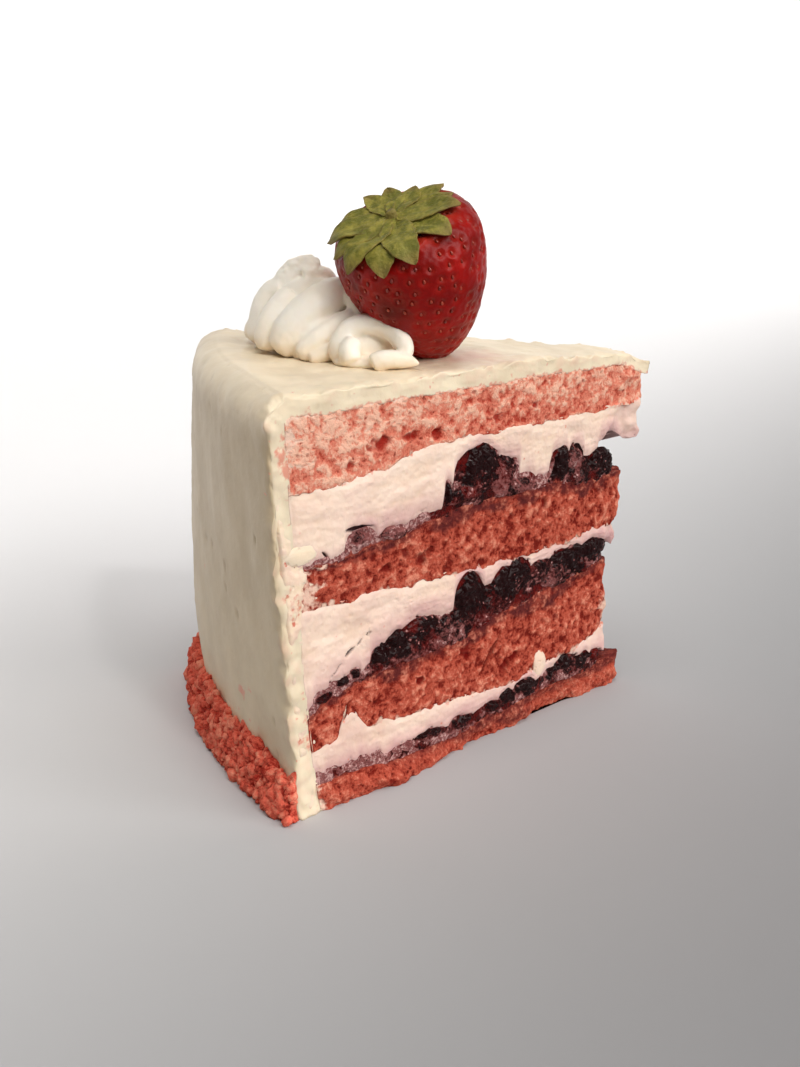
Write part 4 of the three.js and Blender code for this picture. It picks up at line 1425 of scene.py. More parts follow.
@dataclass
class Smears:
    """Icing that the knife dragged over the rim's end of the cuts, and dabs of cream."""

    reach: Profile = Profile(
        (
            (0, 5.2), (10, 3.6), (14, 1.6), (24, 1.6), (38, 2.6), (46, 7),
            (54, 9), (62, 5), (71, 1.6), (78, 0.6), (88, 2),
        )
    )
    dabs: tuple[Dab, ...] = (Dab(6.6, 59.4, 4.6, 2.2, 0.6), Dab(75.8, 14.4, 2.4, 3.2, 0.6))
    start: float = 0.8
    width: float = 19.0
    height: float = 85.5

    def strip(self, skin: Skin, side: int, seed: int) -> None:
        """Adds a closed strip that stands out of the cut only where its height is over 0.

        The height is the reach at that level less the distance in, with noise and lumps.

        Args:
            skin: what it is added to.
            side: -1 for the near cut, 1 for the far cut.
            seed: of its noise.
        """
        counts = np.array([64, 260, 2])
        keys, quads = lattice_sides(counts)
        u, v, w = (keys / counts).T
        inward = mix(self.start, self.width, u)
        z = mix(self.start, self.height, v)
        flat = np.stack([inward, 0 * inward, z], -1)
        lumps, _ = cells(flat, 4.2, seed)
        fine = fractal(flat, 1.7, 3, seed + 3)
        over = (self.reach(z) - inward) / 4.0 + 0.7 * fractal(flat, 3.4, 3, seed + 5)
        high = 0.5 * np.clip(over, -1.4, 1) + 0.3 * (0.5 - lumps) + 0.12 * fine - 0.1
        sunk = np.minimum(ease((inward - self.start) / 1.4), ease((self.height - z) / 3.0))
        high = mix(-1.2, high, sunk)
        depth = np.where(w > 0.5, np.clip(high, -1.2, 1.0), -1.6)
        phi = side * FORM.half
        x, y = FORM.plan(FORM.radius - inward, np.full_like(inward, phi))
        p = np.stack([x, y, z], -1)
        p = p + FORM.normal(side) * (knife(p) + depth)[:, None]
        crumbs, number = cells(flat, 1.9, seed + 7)
        fleck = ease((0.42 - crumbs) / 0.15) * (number > 0.66)
        drawn = ease((inward - 1.0 + 1.5 * fine) / 3.0) * (bump(z, 79, 10) + 0.6 * bump(z, 49, 8))
        # painted shade: the first channel darkens the hollows of the fine relief
        marks = stack(0.3 * ease(-fine), 0.2 + 0.3 * fine, np.maximum(0.7 * fleck, 0.7 * drawn), 0 * u)
        if side > 0:
            quads = quads[:, ::-1]
        skin.add(FORM.lean(p), marks, quads)

    def build(self, look: Look) -> Piece:
        """Builds the strips on both cuts and the dabs.

        Args:
            look: the smeared icing's material.

        Returns:
            The piece.
        """
        skin = Skin()
        self.strip(skin, -1, 801)
        self.strip(skin, 1, 831)
        points, faces = pebble(4)
        for k, dab in enumerate(self.dabs):
            rough = 1 + 0.22 * fractal(points * 0.6 + 9 * k, 1.0, 3, 861)
            local = points * rough[:, None]
            inward = dab.inward + dab.half_width * local[:, 0]
            z = dab.z + dab.half_height * local[:, 2]
            x, y = FORM.plan(FORM.radius - inward, np.full_like(inward, -FORM.half))
            p = np.stack([x, y, z], -1)
            p = p + FORM.normal(-1) * (knife(p) + dab.high * local[:, 1])[:, None]
            marks = np.tile([0.0, 0.0 if dab.inward < 20 else 0.45, 0.0, 0.0], (len(p), 1))
            skin.add(FORM.lean(p), marks, tris=faces)
        return skin.build("knife_smears", look)


# ------------------------------------------------------------------ icing


@dataclass
class Icing:
    """The coat of icing: a sheet up the rim, over a round edge and along the top to the point."""

    tip: float = 1.4
    side_share: float = 0.42
    round_share: float = 0.035
    sag: Profile = Profile(((0, 0), (60, 0.3), (96, 1.8), (117, 6.2)))
    squares: tuple[int, int, int] = (320, 130, 14)
    round_squares: int = 22

    def outside(self, a: Array) -> tuple[Array, Array, Array]:
        """The outer face: up the rim, round a quarter circle, then along the sagging top.

        Args:
            a: shares of the way along the section.

        Returns:
            Its radius and height, and how far its normal has turned up, from 0 to 1.
        """
        below = FORM.height - FORM.rim_round
        z_side = below * np.clip(a / self.side_share, 0, 1)
        r_side = FORM.foot(z_side)
        turn = np.clip((a - self.side_share) / self.round_share, 0, 1)
        r_round = FORM.radius - FORM.rim_round * (1 - np.cos(turn * np.pi / 2))
        z_round = below + FORM.rim_round * np.sin(turn * np.pi / 2)
        start = self.side_share + self.round_share
        share = np.clip((a - start) / (1 - start), 0, 1)
        r_top = mix(FORM.radius - FORM.rim_round, self.tip, share)
        z_top = FORM.height - self.sag(FORM.radius - r_top)
        on_side = a <= self.side_share
        on_round = (a > self.side_share) & (a <= start)
        r = np.where(on_side, r_side, np.where(on_round, r_round, r_top))
        z = np.where(on_side, z_side, np.where(on_round, z_round, z_top))
        return r, z, turn

    def stops(self) -> Array:
        """The squares' places along the section, which are closer together round the edge.

        Returns:
            (squares + 1,) shares of the way along it.
        """
        count = self.squares[0]
        start = self.side_share + self.round_share
        up = np.linspace(0, self.side_share, int(count * self.side_share), endpoint=False)
        bend = np.linspace(self.side_share, start, self.round_squares, endpoint=False)
        rest = count + 1 - len(up) - len(bend)
        return np.concatenate([up, bend, np.linspace(start, 1, rest)])

    def inside(self, a: Array, phi: Array) -> tuple[Array, Array]:
        """The inner face: up the cake's side and along the top sponge.

        Args:
            a: shares of the way along the section.
            phi: angles from the middle line.

        Returns:
            Its radius and height.
        """
        start = self.side_share + self.round_share
        share = np.clip((a - start) / (1 - start), 0, 1)
        r = mix(FORM.wall - 0.5, self.tip + 1, share)
        x, y = FORM.plan(r, phi)
        z = FACES["icing_under"](x, y)
        return r, z * np.clip(a / self.side_share, 0, 1)

    def build(self, look: Look) -> Piece:
        """Builds the sheet as a block of six sides on a lattice of a, b and c.

        a runs along the section, b from the near cut to the far cut, c through the thickness.
        The outer face takes spatula waves and small pits, with painted shade in the troughs, in the pits and
        up the rim side; the cuts take the knife's drag.

        Args:
            look: the icing's material.

        Returns:
            The piece.
        """
        counts = np.array(self.squares)
        keys, quads = lattice_sides(counts)
        a = self.stops()[keys[:, 0]]
        even = keys[:, 1] / counts[1]
        b = mix(even, 0.5 - 0.5 * np.cos(np.pi * even), 0.55)  # closer together by the cuts
        c = keys[:, 2] / counts[2]
        phi = mix(-FORM.half, FORM.half, b)
        r1, z1, turn = self.outside(a)
        r0, z0 = self.inside(a, phi)
        r, z = mix(r0, r1, c), mix(z0, z1, c)
        x, y = FORM.plan(r, phi)
        p = np.stack([x, y, z], -1)
        turn = turn * (a > self.side_share)
        upright = np.cos(turn * np.pi / 2)
        outward = np.stack([-np.cos(phi) * upright, np.sin(phi) * upright, np.sin(turn * np.pi / 2)], -1)
        side_y = np.where(b < 0.5, -1, 1) * math.cos(FORM.half)
        side = np.stack([np.full_like(x, math.sin(FORM.half)), side_y, 0 * x], -1)
        on_outer = ease((c - 0.6) / 0.4)
        from_cut = np.minimum(b, 1 - b) * 2 * FORM.half * np.maximum(r, 4)
        on_cut = np.exp(-from_cut / 0.7)
        waves = fractal(p * [1.0, 0.45, 0.35], 9.0, 3, 201)
        silk = fractal(p, 2.2, 2, 205)
        strokes = fractal(p * [0.12, 1.0, 1.0], 3.4, 2, 209) * (z1 > FORM.height - 8)
        pit_distance, pit_number = cells(p * [1.3, 1.3, 0.55], 4.2, 211)
        pit = ease((0.2 - pit_distance) / 0.12) * (pit_number > 0.5)
        lip = bump(FORM.radius - r1, 7.0, 5.0) * (0.5 + 0.5 * noise(p, 14.0, 215)) * (turn > 0.9)
        on_rim = (a < self.side_share) * 1.0
        outer = (0.34 + 0.22 * on_rim) * waves + 0.08 * silk + 0.14 * strokes
        outer = outer - 0.4 * pit * (0.3 + 0.7 * on_rim) + 0.5 * lip
        drag = fractal(p, 3.0, 3, 221)
        blob, _ = cells(p, 4.0, 225)
        steep = ease((0.5 - a) / 0.1)
        cut = knife(p) + ease(2.5 * c) * (0.2 * drag + steep * (0.5 - blob) * 1.1)
        edge_fall = (-0.5 + 0.9 * drag) * np.exp(-from_cut / 1.2) * on_outer
        p = p + outward * ((outer + edge_fall) * on_outer)[:, None] + side * (cut * on_cut)[:, None]
        p[keys[:, 0] == 0, 2] = 0.0
        crumbs, crumb_number = cells(p, 1.8, 231)
        fleck = ease((0.34 - crumbs) / 0.16) * (crumb_number > 0.66) * on_cut
        under = ease(1 - (z - z0 - 0.4 * fringe(p) - 0.3 * noise(p, 1.0, 233)) / 1.2) * on_cut * (a > 0.46)
        inner = ease(1 - (r - r0 - 2.0 * drag) / 3.6) * on_cut * (a < 0.44)
        crumbly = bump(z, 79, 12) + 0.8 * bump(z, 50, 9) + 0.8 * bump(z, 20, 9) + 0.6 * bump(z, 3, 4)
        mottled = 0.5 + 0.6 * drag + 0.5 * noise(p, 1.3, 239)
        smear = np.clip(0.5 * fleck + 0.65 * under + 1.1 * inner * crumbly * mottled, 0, 1)
        pressed = on_outer * on_rim * ease((z - 13) / 3) * ease((29 - z) / 8) * bump(phi, -0.2, 0.09)
        dusted = pressed * ease((noise(p, 2.0, 235) - 0.1) / 0.5)
        stray, stray_number = cells(p, 5.0, 237)
        loose = ease((0.13 - stray) / 0.05) * (stray_number > 0.8) * on_outer
        stained = on_outer * (a > 0.5) * ease(1 - (np.hypot(x - 6, y + 11) - 3.0 * drag) / 12)
        smear = np.clip(smear + 0.8 * dusted + 0.7 * loose, 0, 1)
        # painted shade: the outer face is painted darker and warmer up the rim side towards its top, fading
        # out over the round edge, and wave troughs and pits are painted darker
        painted_rim_shade = on_outer * mix(0.2, 0.75, z / FORM.height) * ease((FORM.height - 1.5 - z) / 9.0)
        shade = 0.1 * ease(-waves) + 0.2 * pit + painted_rim_shade
        marks = stack(shade, 0.25 * on_cut * ease(drag) + 0.6 * stained, smear, 0 * a)
        skin = Skin()
        skin.add(FORM.lean(p), marks, quads)
        return skin.build("icing_coat", look)


def lattice_sides(counts: Array) -> tuple[Array, Array]:
    """The six sides of a block of squares, with shared edges.

    Args:
        counts: squares along the three directions.

    Returns:
        (n, 3) whole-number places of the vertices, and (m, 4) faces that look outwards.
    """
    places, faces = [], []
    total = 0
    for u, v, w in ((0, 1, 2), (1, 2, 0), (2, 0, 1)):
        for end in (0, 1):
            nu, nv = counts[u], counts[v]
            i, j = np.meshgrid(np.arange(nu + 1), np.arange(nv + 1), indexing="ij")
            place = np.zeros((i.size, 3), int)
            place[:, u], place[:, v], place[:, w] = i.ravel(), j.ravel(), end * counts[w]
            k = (np.arange(nu)[:, None] * (nv + 1) + np.arange(nv)[None]).ravel()
            quad = np.stack([k, k + nv + 1, k + nv + 2, k + 1], -1)
            faces.append((quad if end else quad[:, ::-1]) + total)
            places.append(place)
            total += len(place)
    every = np.vstack(places)
    size = counts + 1
    key = (every[:, 0] * size[1] + every[:, 1]) * size[2] + every[:, 2]
    _, first, back = np.unique(key, return_index=True, return_inverse=True)
    return every[first], back.reshape(-1)[np.vstack(faces)]


# ------------------------------------------------------------------ crumbs


def pebble(detail: int = 1) -> tuple[Array, Array]:
    """A round lump of triangles: an icosphere.

    Args:
        detail: how often its faces have been divided.

    Returns:
        (n, 3) points and (m, 3) faces.
    """
    body = bmesh.new()
    bmesh.ops.create_icosphere(body, subdivisions=detail, radius=1.0)
    points = np.array([v.co[:] for v in body.verts])
    faces = np.array([[v.index for v in f.verts] for f in body.faces])
    body.free()
    return points, faces


def scatter(skin: Skin, places: Array, sizes: Array, seed: int, stretch: Array, mark: Array) -> None:
    """Adds one uneven lump at each place, all of them as whole arrays.

    Each lump is an icosphere, stretched, turned at random and pushed in and out by noise.

    Args:
        skin: what the lumps are added to.
        places: (n, 3) middles.
        sizes: (n,) radii.
        seed: of the turns and the unevenness.
        stretch: (3,) factors of the radius.
        mark: (4,) the attribute of every lump, whose first number varies.
    """
    points, faces = pebble(2)
    rng = np.random.default_rng(seed)
    turns = rng.normal(size=(len(places), 3, 3))
    turns, _ = np.linalg.qr(turns)
    turns[:, :, 0] *= np.linalg.det(turns)[:, None]
    shaped = points[None] * (stretch * rng.uniform(0.7, 1.3, (len(places), 3)))[:, None]
    uneven = 1 + 0.28 * fractal(shaped * 1.7 + 31 * np.arange(len(places))[:, None, None], 1.0, 2, seed)
    shaped = shaped * uneven[..., None] * sizes[:, None, None]
    lumps = np.einsum("nij,nkj->nki", turns, shaped) + places[:, None]
    index = faces[None] + len(points) * np.arange(len(places))[:, None, None]
    marks = np.broadcast_to(mark, (len(places), len(points), 4)).copy()
    marks[..., 0] += rng.uniform(-0.22, 0.22, (len(places), 1))
    skin.add(lumps.reshape(-1, 3), marks.reshape(-1, 4), tris=index)


@dataclass
class CrumbBand:
    """Cake crumbs pressed round the foot of the icing."""

    height: Profile = Profile(((0, 9.4), (0.25, 11.5), (0.6, 12.5), (1, 10)))
    depth: float = 2.4
    count: int = 1500

    def build(self, look: Look) -> Piece:
        """Builds a rough band, and crumbs of several sizes pressed onto it.

        Args:
            look: the crumbs' material.

        Returns:
            The piece.
        """
        skin = Skin()
        counts = np.array([2, 300, 46])
        keys, quads = lattice_sides(counts)
        a, b, c = (keys / counts).T
        b = 1 - b
        phi = mix(-FORM.half, FORM.half, b)
        ragged = 1 + 0.3 * noise(np.stack([90 * b, 0 * b, 0 * b], -1), 4.0, 301)
        z = self.height(b) * ragged * c
        seat = np.stack([90 * b, z, 0 * b], -1)
        lump, _ = cells(seat, 2.0, 305)
        depth = self.depth * (1 - 0.8 * c**2) + 0.9 * (0.5 - lump) + 0.6 * noise(seat, 5.0, 307)
        x, y = FORM.plan(FORM.foot(z) - 0.2 + a * np.maximum(depth, 0.25), phi)
        # painted shade: the sunk gaps between lumps take a lower tone, partly crumb grain, and the pore
        # channel paints them dark
        tone = 0.45 + 0.5 * (0.5 - lump)
        marks = stack(tone, 0 * a, 0 * a, ease((lump - 0.55) / 0.3))
        skin.add(FORM.lean(np.stack([x, y, z], -1)), marks, quads)
        rng = np.random.default_rng(311)
        share = rng.uniform(0, 1, self.count)
        c = rng.uniform(0, 1, self.count) ** 1.1
        phi = mix(-FORM.half, FORM.half, share)
        size = rng.gamma(3.0, 0.24, self.count) + 0.25
        size = np.minimum(size, 1.9)
        z = np.maximum(self.height(share) * c * rng.uniform(0.9, 1.12, self.count), size * 0.7)
        out = self.depth * (1 - 0.8 * c**2) * rng.uniform(0.35, 1.05, self.count)
        x, y = FORM.plan(FORM.foot(z) + 0.1 + out, phi)
        places = FORM.lean(np.stack([x, y, z], -1))
        scatter(skin, places, size, 313, np.array([1.0, 1.0, 0.8]), np.array([0.5, 0, 0, 0]))
        loose = skin.points[-1]
        loose[:, 2] = np.maximum(loose[:, 2], 0.0)  # crumbs lie flat on the table
        return skin.build("crumb_rim", look)


# ------------------------------------------------------------------ strawberry


@dataclass
class Fruit:
    """The strawberry, which stands on its point and leans towards the near cut."""

    length: float = 40.0
    wide: float = 16.4
    widest: float = 0.7
    dip: float = 3.2
    tip: Triple = (-0.3, -5.6, 91.4)
    axis: Triple = (-0.44, -0.275, 0.855)
    seeds: int = 330

    def __post_init__(self) -> None:
        """Works out the turn from upright to the fruit's axis."""
        turn = Vector((0, 0, 1)).rotation_difference(Vector(self.axis).normalized())
        self.turn = np.array(turn.to_matrix())

    def radius(self, share: Array) -> Array:
        """Radius at a share of the length: a blunt tip, then shoulders that close over.

        Up to the widest place w it is (1 - (1 - s/w)^1.9)^0.72 of the greatest radius, and from
        there (1 - ((s - w)/(1 - w))^2.6)^0.55.

        Args:
            share: shares of the length, from the tip.

        Returns:
            The radii.
        """
        share = np.clip(share, 0, 1)
        low = (1 - (1 - np.clip(share / self.widest, 0, 1)) ** 1.9) ** 0.72
        high = np.clip(1 - np.clip((share - self.widest) / (1 - self.widest), 0, 1) ** 2.6, 0, 1) ** 0.55
        return self.wide * np.where(share < self.widest, low, high)

    def skin_point(self, share: Array, turn: Array) -> Array:
        """Points of the smooth skin, standing on the tip, with faint lobes and a dip at the crown.

        Args:
            share: shares of the length, from the tip.
            turn: angles round the axis.

        Returns:
            (..., 3) points.
        """
        lobes = 1 + 0.06 * np.cos(turn + 0.39) + 0.02 * np.sin(3 * turn + 2 * share)
        r = self.radius(share) * lobes
        dip = self.dip * ease((share - 0.9) / 0.1)
        return np.stack([r * np.cos(turn), r * np.sin(turn), self.length * share - dip], -1)

    def over_skin(self, share: Array, turn: Array, height: Array | float) -> Array:
        """Points at a height over the skin, along its normal.

        Args:
            share: shares of the length, from the tip.
            turn: angles round the axis.
            height: distances out of the skin.

        Returns:
            (..., 3) points.
        """
        here = self.skin_point(share, turn)
        ahead = self.skin_point(np.minimum(share + 0.02, 1), turn)
        slope = ahead - self.skin_point(np.maximum(share - 0.02, 0), turn)
        outwards = np.stack([np.cos(turn), np.sin(turn), 0 * turn], -1)
        drop = (slope * outwards).sum(-1)
        normal = outwards * slope[..., 2:] + np.stack([0 * drop, 0 * drop, -drop], -1)
        normal /= np.linalg.norm(normal, axis=-1, keepdims=True) + 1e-9
        return here + normal * np.asarray(height)[..., None]

    def placed(self, p: Array) -> Array:
        """Turns points to the fruit's axis and stands them on its tip."""
        return p @ self.turn.T + np.array(self.tip)

    def seed_places(self) -> tuple[Array, Array]:
        """The seeds lie on a spiral that steps by the golden angle, a little out of place.

        Returns:
            Their shares of the length and their angles.
        """
        k = np.arange(self.seeds)
        share = 0.03 + 0.9 * ((k + 0.5) / self.seeds) ** 0.82
        turn = (k * math.pi * (3 - math.sqrt(5))) % (2 * math.pi)
        rng = np.random.default_rng(401)
        return share + rng.normal(0, 0.004, len(k)), turn + rng.normal(0, 0.05, len(k))

    def build(self, look: Look, seed_look: Look) -> list[Piece]:
        """Builds the fruit and its seeds, each from the same seed places.

        Args:
            look: the skin's material.
            seed_look: the seeds' material.

        Returns:
            The fruit and the seeds.
        """
        return [self.body(look), self.grains(seed_look)]

    def body(self, look: Look) -> Piece:
        """Builds the fruit, uneven, with a dimple and a faint rim round each seed.

        Args:
            look: the skin's material.

        Returns:
            The fruit.
        """
        rows, columns = 250, 370
        t = np.linspace(0, 1, rows + 1)[1:-1]
        share = 0.5 - 0.5 * np.cos(np.pi * t)
        turn = 2 * np.pi * np.arange(columns) / columns
        s, a = np.meshgrid(share[::-1], turn, indexing="ij")
        flat = self.skin_point(s, a)
        nearest = np.full(s.shape, 99.0)
        for spot in self.skin_point(*self.seed_places()):
            near = ((flat - spot) ** 2).sum(-1)
            nearest = np.minimum(nearest, near)
        nearest = np.sqrt(nearest)
        dimple = 0.4 * np.exp(-((nearest / 0.8) ** 2)) - 0.08 * np.exp(-(((nearest - 1.6) / 0.7) ** 2))
        uneven = 0.35 * fractal(flat, 9.0, 2, 411) + 0.06 * fractal(flat, 1.2, 2, 413)
        skin_points = self.placed(self.over_skin(s, a, uneven - dimple))
        crown = ease((s - 0.86) / 0.12)
        marks = stack(np.exp(-((nearest / 1.1) ** 2)), crown, 0.5 + 0.5 * fractal(flat, 6.0, 2, 417), 0 * s)
        first = self.placed(np.array([0.0, 0.0, self.length - self.dip]))
        skin = Skin()
        skin.add_loft(first, skin_points, self.placed(np.zeros(3)), marks)
        low = skin.points[0]
        low[:, 2] = np.maximum(low[:, 2], FORM.height - 0.4)
        return skin.build("strawberry_skin", look)

    def grains(self, look: Look) -> Piece:
        """Builds the seeds that aren't in the icing: tear-shaped grains along the skin.

        Args:
            look: the seeds' material.

        Returns:
            The seeds.
        """
        share, turn = self.seed_places()
        points, faces = pebble(2)
        tear = points * np.array([0.3, 0.24, 0.5])
        tear[:, 0] *= 1 - 0.3 * points[:, 2]
        up = self.over_skin(share, turn, -0.36)
        out = self.over_skin(share, turn, 1.0) - self.over_skin(share, turn, 0.0)
        along = self.skin_point(share + 0.01, turn) - self.skin_point(share, turn)
        along /= np.linalg.norm(along, axis=1, keepdims=True)
        across = np.cross(along, out)
        frame = np.stack([across, out, along], -1)
        placed = np.einsum("nij,kj->nki", frame, tear) + up[:, None]
        index = faces[None] + len(points) * np.arange(len(up))[:, None, None]
        keep = self.placed(up)[:, 2] > FORM.height + 0.6
        kept = self.placed(placed)[keep]
        index = index[: keep.sum()]
        rng = np.random.default_rng(421)
        tints = np.zeros((len(kept), len(points), 4))
        tints[..., 0] = rng.uniform(0, 1, (len(kept), 1))
        skin = Skin()
        skin.add(kept.reshape(-1, 3), tints.reshape(-1, 4), tris=index)
        return skin.build("strawberry_seeds", look)


@dataclass
class Calyx:
    """The strawberry's leaf: pointed, toothed sepals that lie over its shoulder."""

    fruit: Fruit
    sepals: int = 13
    reach: float = 16.0
    thick: float = 0.36

    def arc(self) -> tuple[Array, Array]:
        """The line from the middle of the crown down the skin.

        Returns:
            Distances along it, and their shares of the fruit's length.
        """
        share = np.linspace(1, 0.3, 400)
        line = self.fruit.skin_point(share, 0 * share)
        steps = np.linalg.norm(np.diff(line, axis=0), axis=1)
        return np.concatenate([[0], np.cumsum(steps)]), share

    def build(self, look: Look) -> Piece:
        """Builds each sepal as a thick leaf on a grid of (along, across).

        A sepal's half-width is sin(pi (0.93 t + 0.07)^1.25)^0.75 of its breadth, with teeth past
        its first third. It follows the fruit's skin, sinks along its veins and lifts at its point.

        Args:
            look: the leaf's material.

        Returns:
            The piece.
        """
        skin = Skin()
        along_skin, shares = self.arc()
        rng = np.random.default_rng(431)
        rows, columns = 46, 27
        t = np.linspace(0, 1, rows)[:, None]
        w = np.linspace(-1, 1, columns)[None]
        for k in range(self.sepals):
            turn = 2 * math.pi * (k + 0.5) / self.sepals + rng.normal(0, 0.06)
            front = 0.5 + 0.5 * math.cos(turn + 2.5)
            length = self.reach * (0.76 + 0.4 * front + rng.normal(0, 0.05))
            breadth = 3.2 + 0.7 * front + rng.normal(0, 0.22)
            teeth = 1 + 0.16 * np.abs(((t * 7) % 1) - 0.35) * (t > 0.3)
            half_width = breadth * np.sin(np.pi * np.clip(t * 0.93 + 0.07, 0, 1) ** 1.25) ** 0.75 * teeth
            half_width = np.where(t < 0.35, np.maximum(half_width, 2.4 * (0.4 + t)), half_width)
            walk = 0.4 + (length - 0.4) * t + 0 * w
            share = np.interp(walk, along_skin, shares)
            ring = np.maximum(self.fruit.radius(share), 1.2)
            angle = turn + np.clip(half_width * w / np.maximum(ring, 2.2), -1.2, 1.2)
            angle = angle + 0.08 * np.sin(4 * t + k)
            lift = 0.5 + 0.4 * (k % 2) * ease(t * 3) + 0.6 * np.abs(w) ** 1.5 * (1 - t) * ease(t * 2)
            lift = lift + rng.uniform(0.1, 0.8) * t**3 + 0.16 * np.sin(9 * t + 3 * w + k)
            side_vein = (np.abs(w) - 1.2 * ((t * 5) % 1)) / 0.12
            vein = 0.22 * np.exp(-((w / 0.1) ** 2)) + 0.1 * np.exp(-(side_vein**2))
            under = self.fruit.placed(self.fruit.over_skin(share, angle, lift))
            upper = lift + self.thick - vein * (1 - t)
            over = self.fruit.placed(self.fruit.over_skin(share, angle, upper))
            dry = ease((t - 0.78) / 0.22) + 0.6 * ease((np.abs(w) - 0.85) / 0.15) + 0 * w
            age = (0.5 + 0.5 * math.cos(turn - 1.2)) * rng.uniform(0.4, 1)
            marks = stack(vein / 0.32 + 0 * t, dry * 0.7, np.full(dry.shape, age), 0 * dry)
            self._leaf(skin, under, over, marks)
        neck = self.fruit.length - self.fruit.dip
        stalk = self.fruit.placed(np.array([[0, 0, neck - 0.4], [0.2, 0.1, neck + 2.2]]))
        line = mix(stalk[:1], stalk[1:], np.linspace(0, 1, 8)[:, None])
        side = np.array([0.0, 1.0, 0.2])
        rings = tube(line, np.linspace(1.5, 1.0, 8), 14, side, lambda a, s: 1 + 0.08 * np.cos(3 * a))
        skin.add_loft(line[0], rings, line[-1], np.broadcast_to([0.2, 0.5, 0.2, 0], (8, 14, 4)).copy())
        return skin.build("calyx_leaf", look)

    @staticmethod
    def _leaf(skin: Skin, under: Array, over: Array, marks: Array) -> None:
        """Adds a thick leaf: its two faces, joined round the edge.

        Args:
            skin: what it is added to.
            under: (rows, columns, 3) lower face.
            over: (rows, columns, 3) upper face.
            marks: (rows, columns, 4) attribute of both.
        """
        rows, columns = under.shape[:2]
        k = (np.arange(rows - 1)[:, None] * columns + np.arange(columns - 1)[None]).ravel()
        face = np.stack([k, k + 1, k + columns + 1, k + columns], -1)
        count = rows * columns
        rim = np.concatenate(
            [
                np.arange(columns),
                np.arange(1, rows) * columns + columns - 1,
                (rows - 1) * columns + np.arange(columns - 2, -1, -1),
                np.arange(rows - 2, 0, -1) * columns,
            ]
        )
        after = np.roll(rim, -1)
        edge = np.stack([rim, rim + count, after + count, after], -1)
        quads = np.vstack([face[:, ::-1], face + count, edge[:, ::-1]])
        points = np.vstack([under.reshape(-1, 3), over.reshape(-1, 3)])
        skin.add(points, np.vstack([marks.reshape(-1, 4)] * 2), quads)


# ------------------------------------------------------------------ piped cream


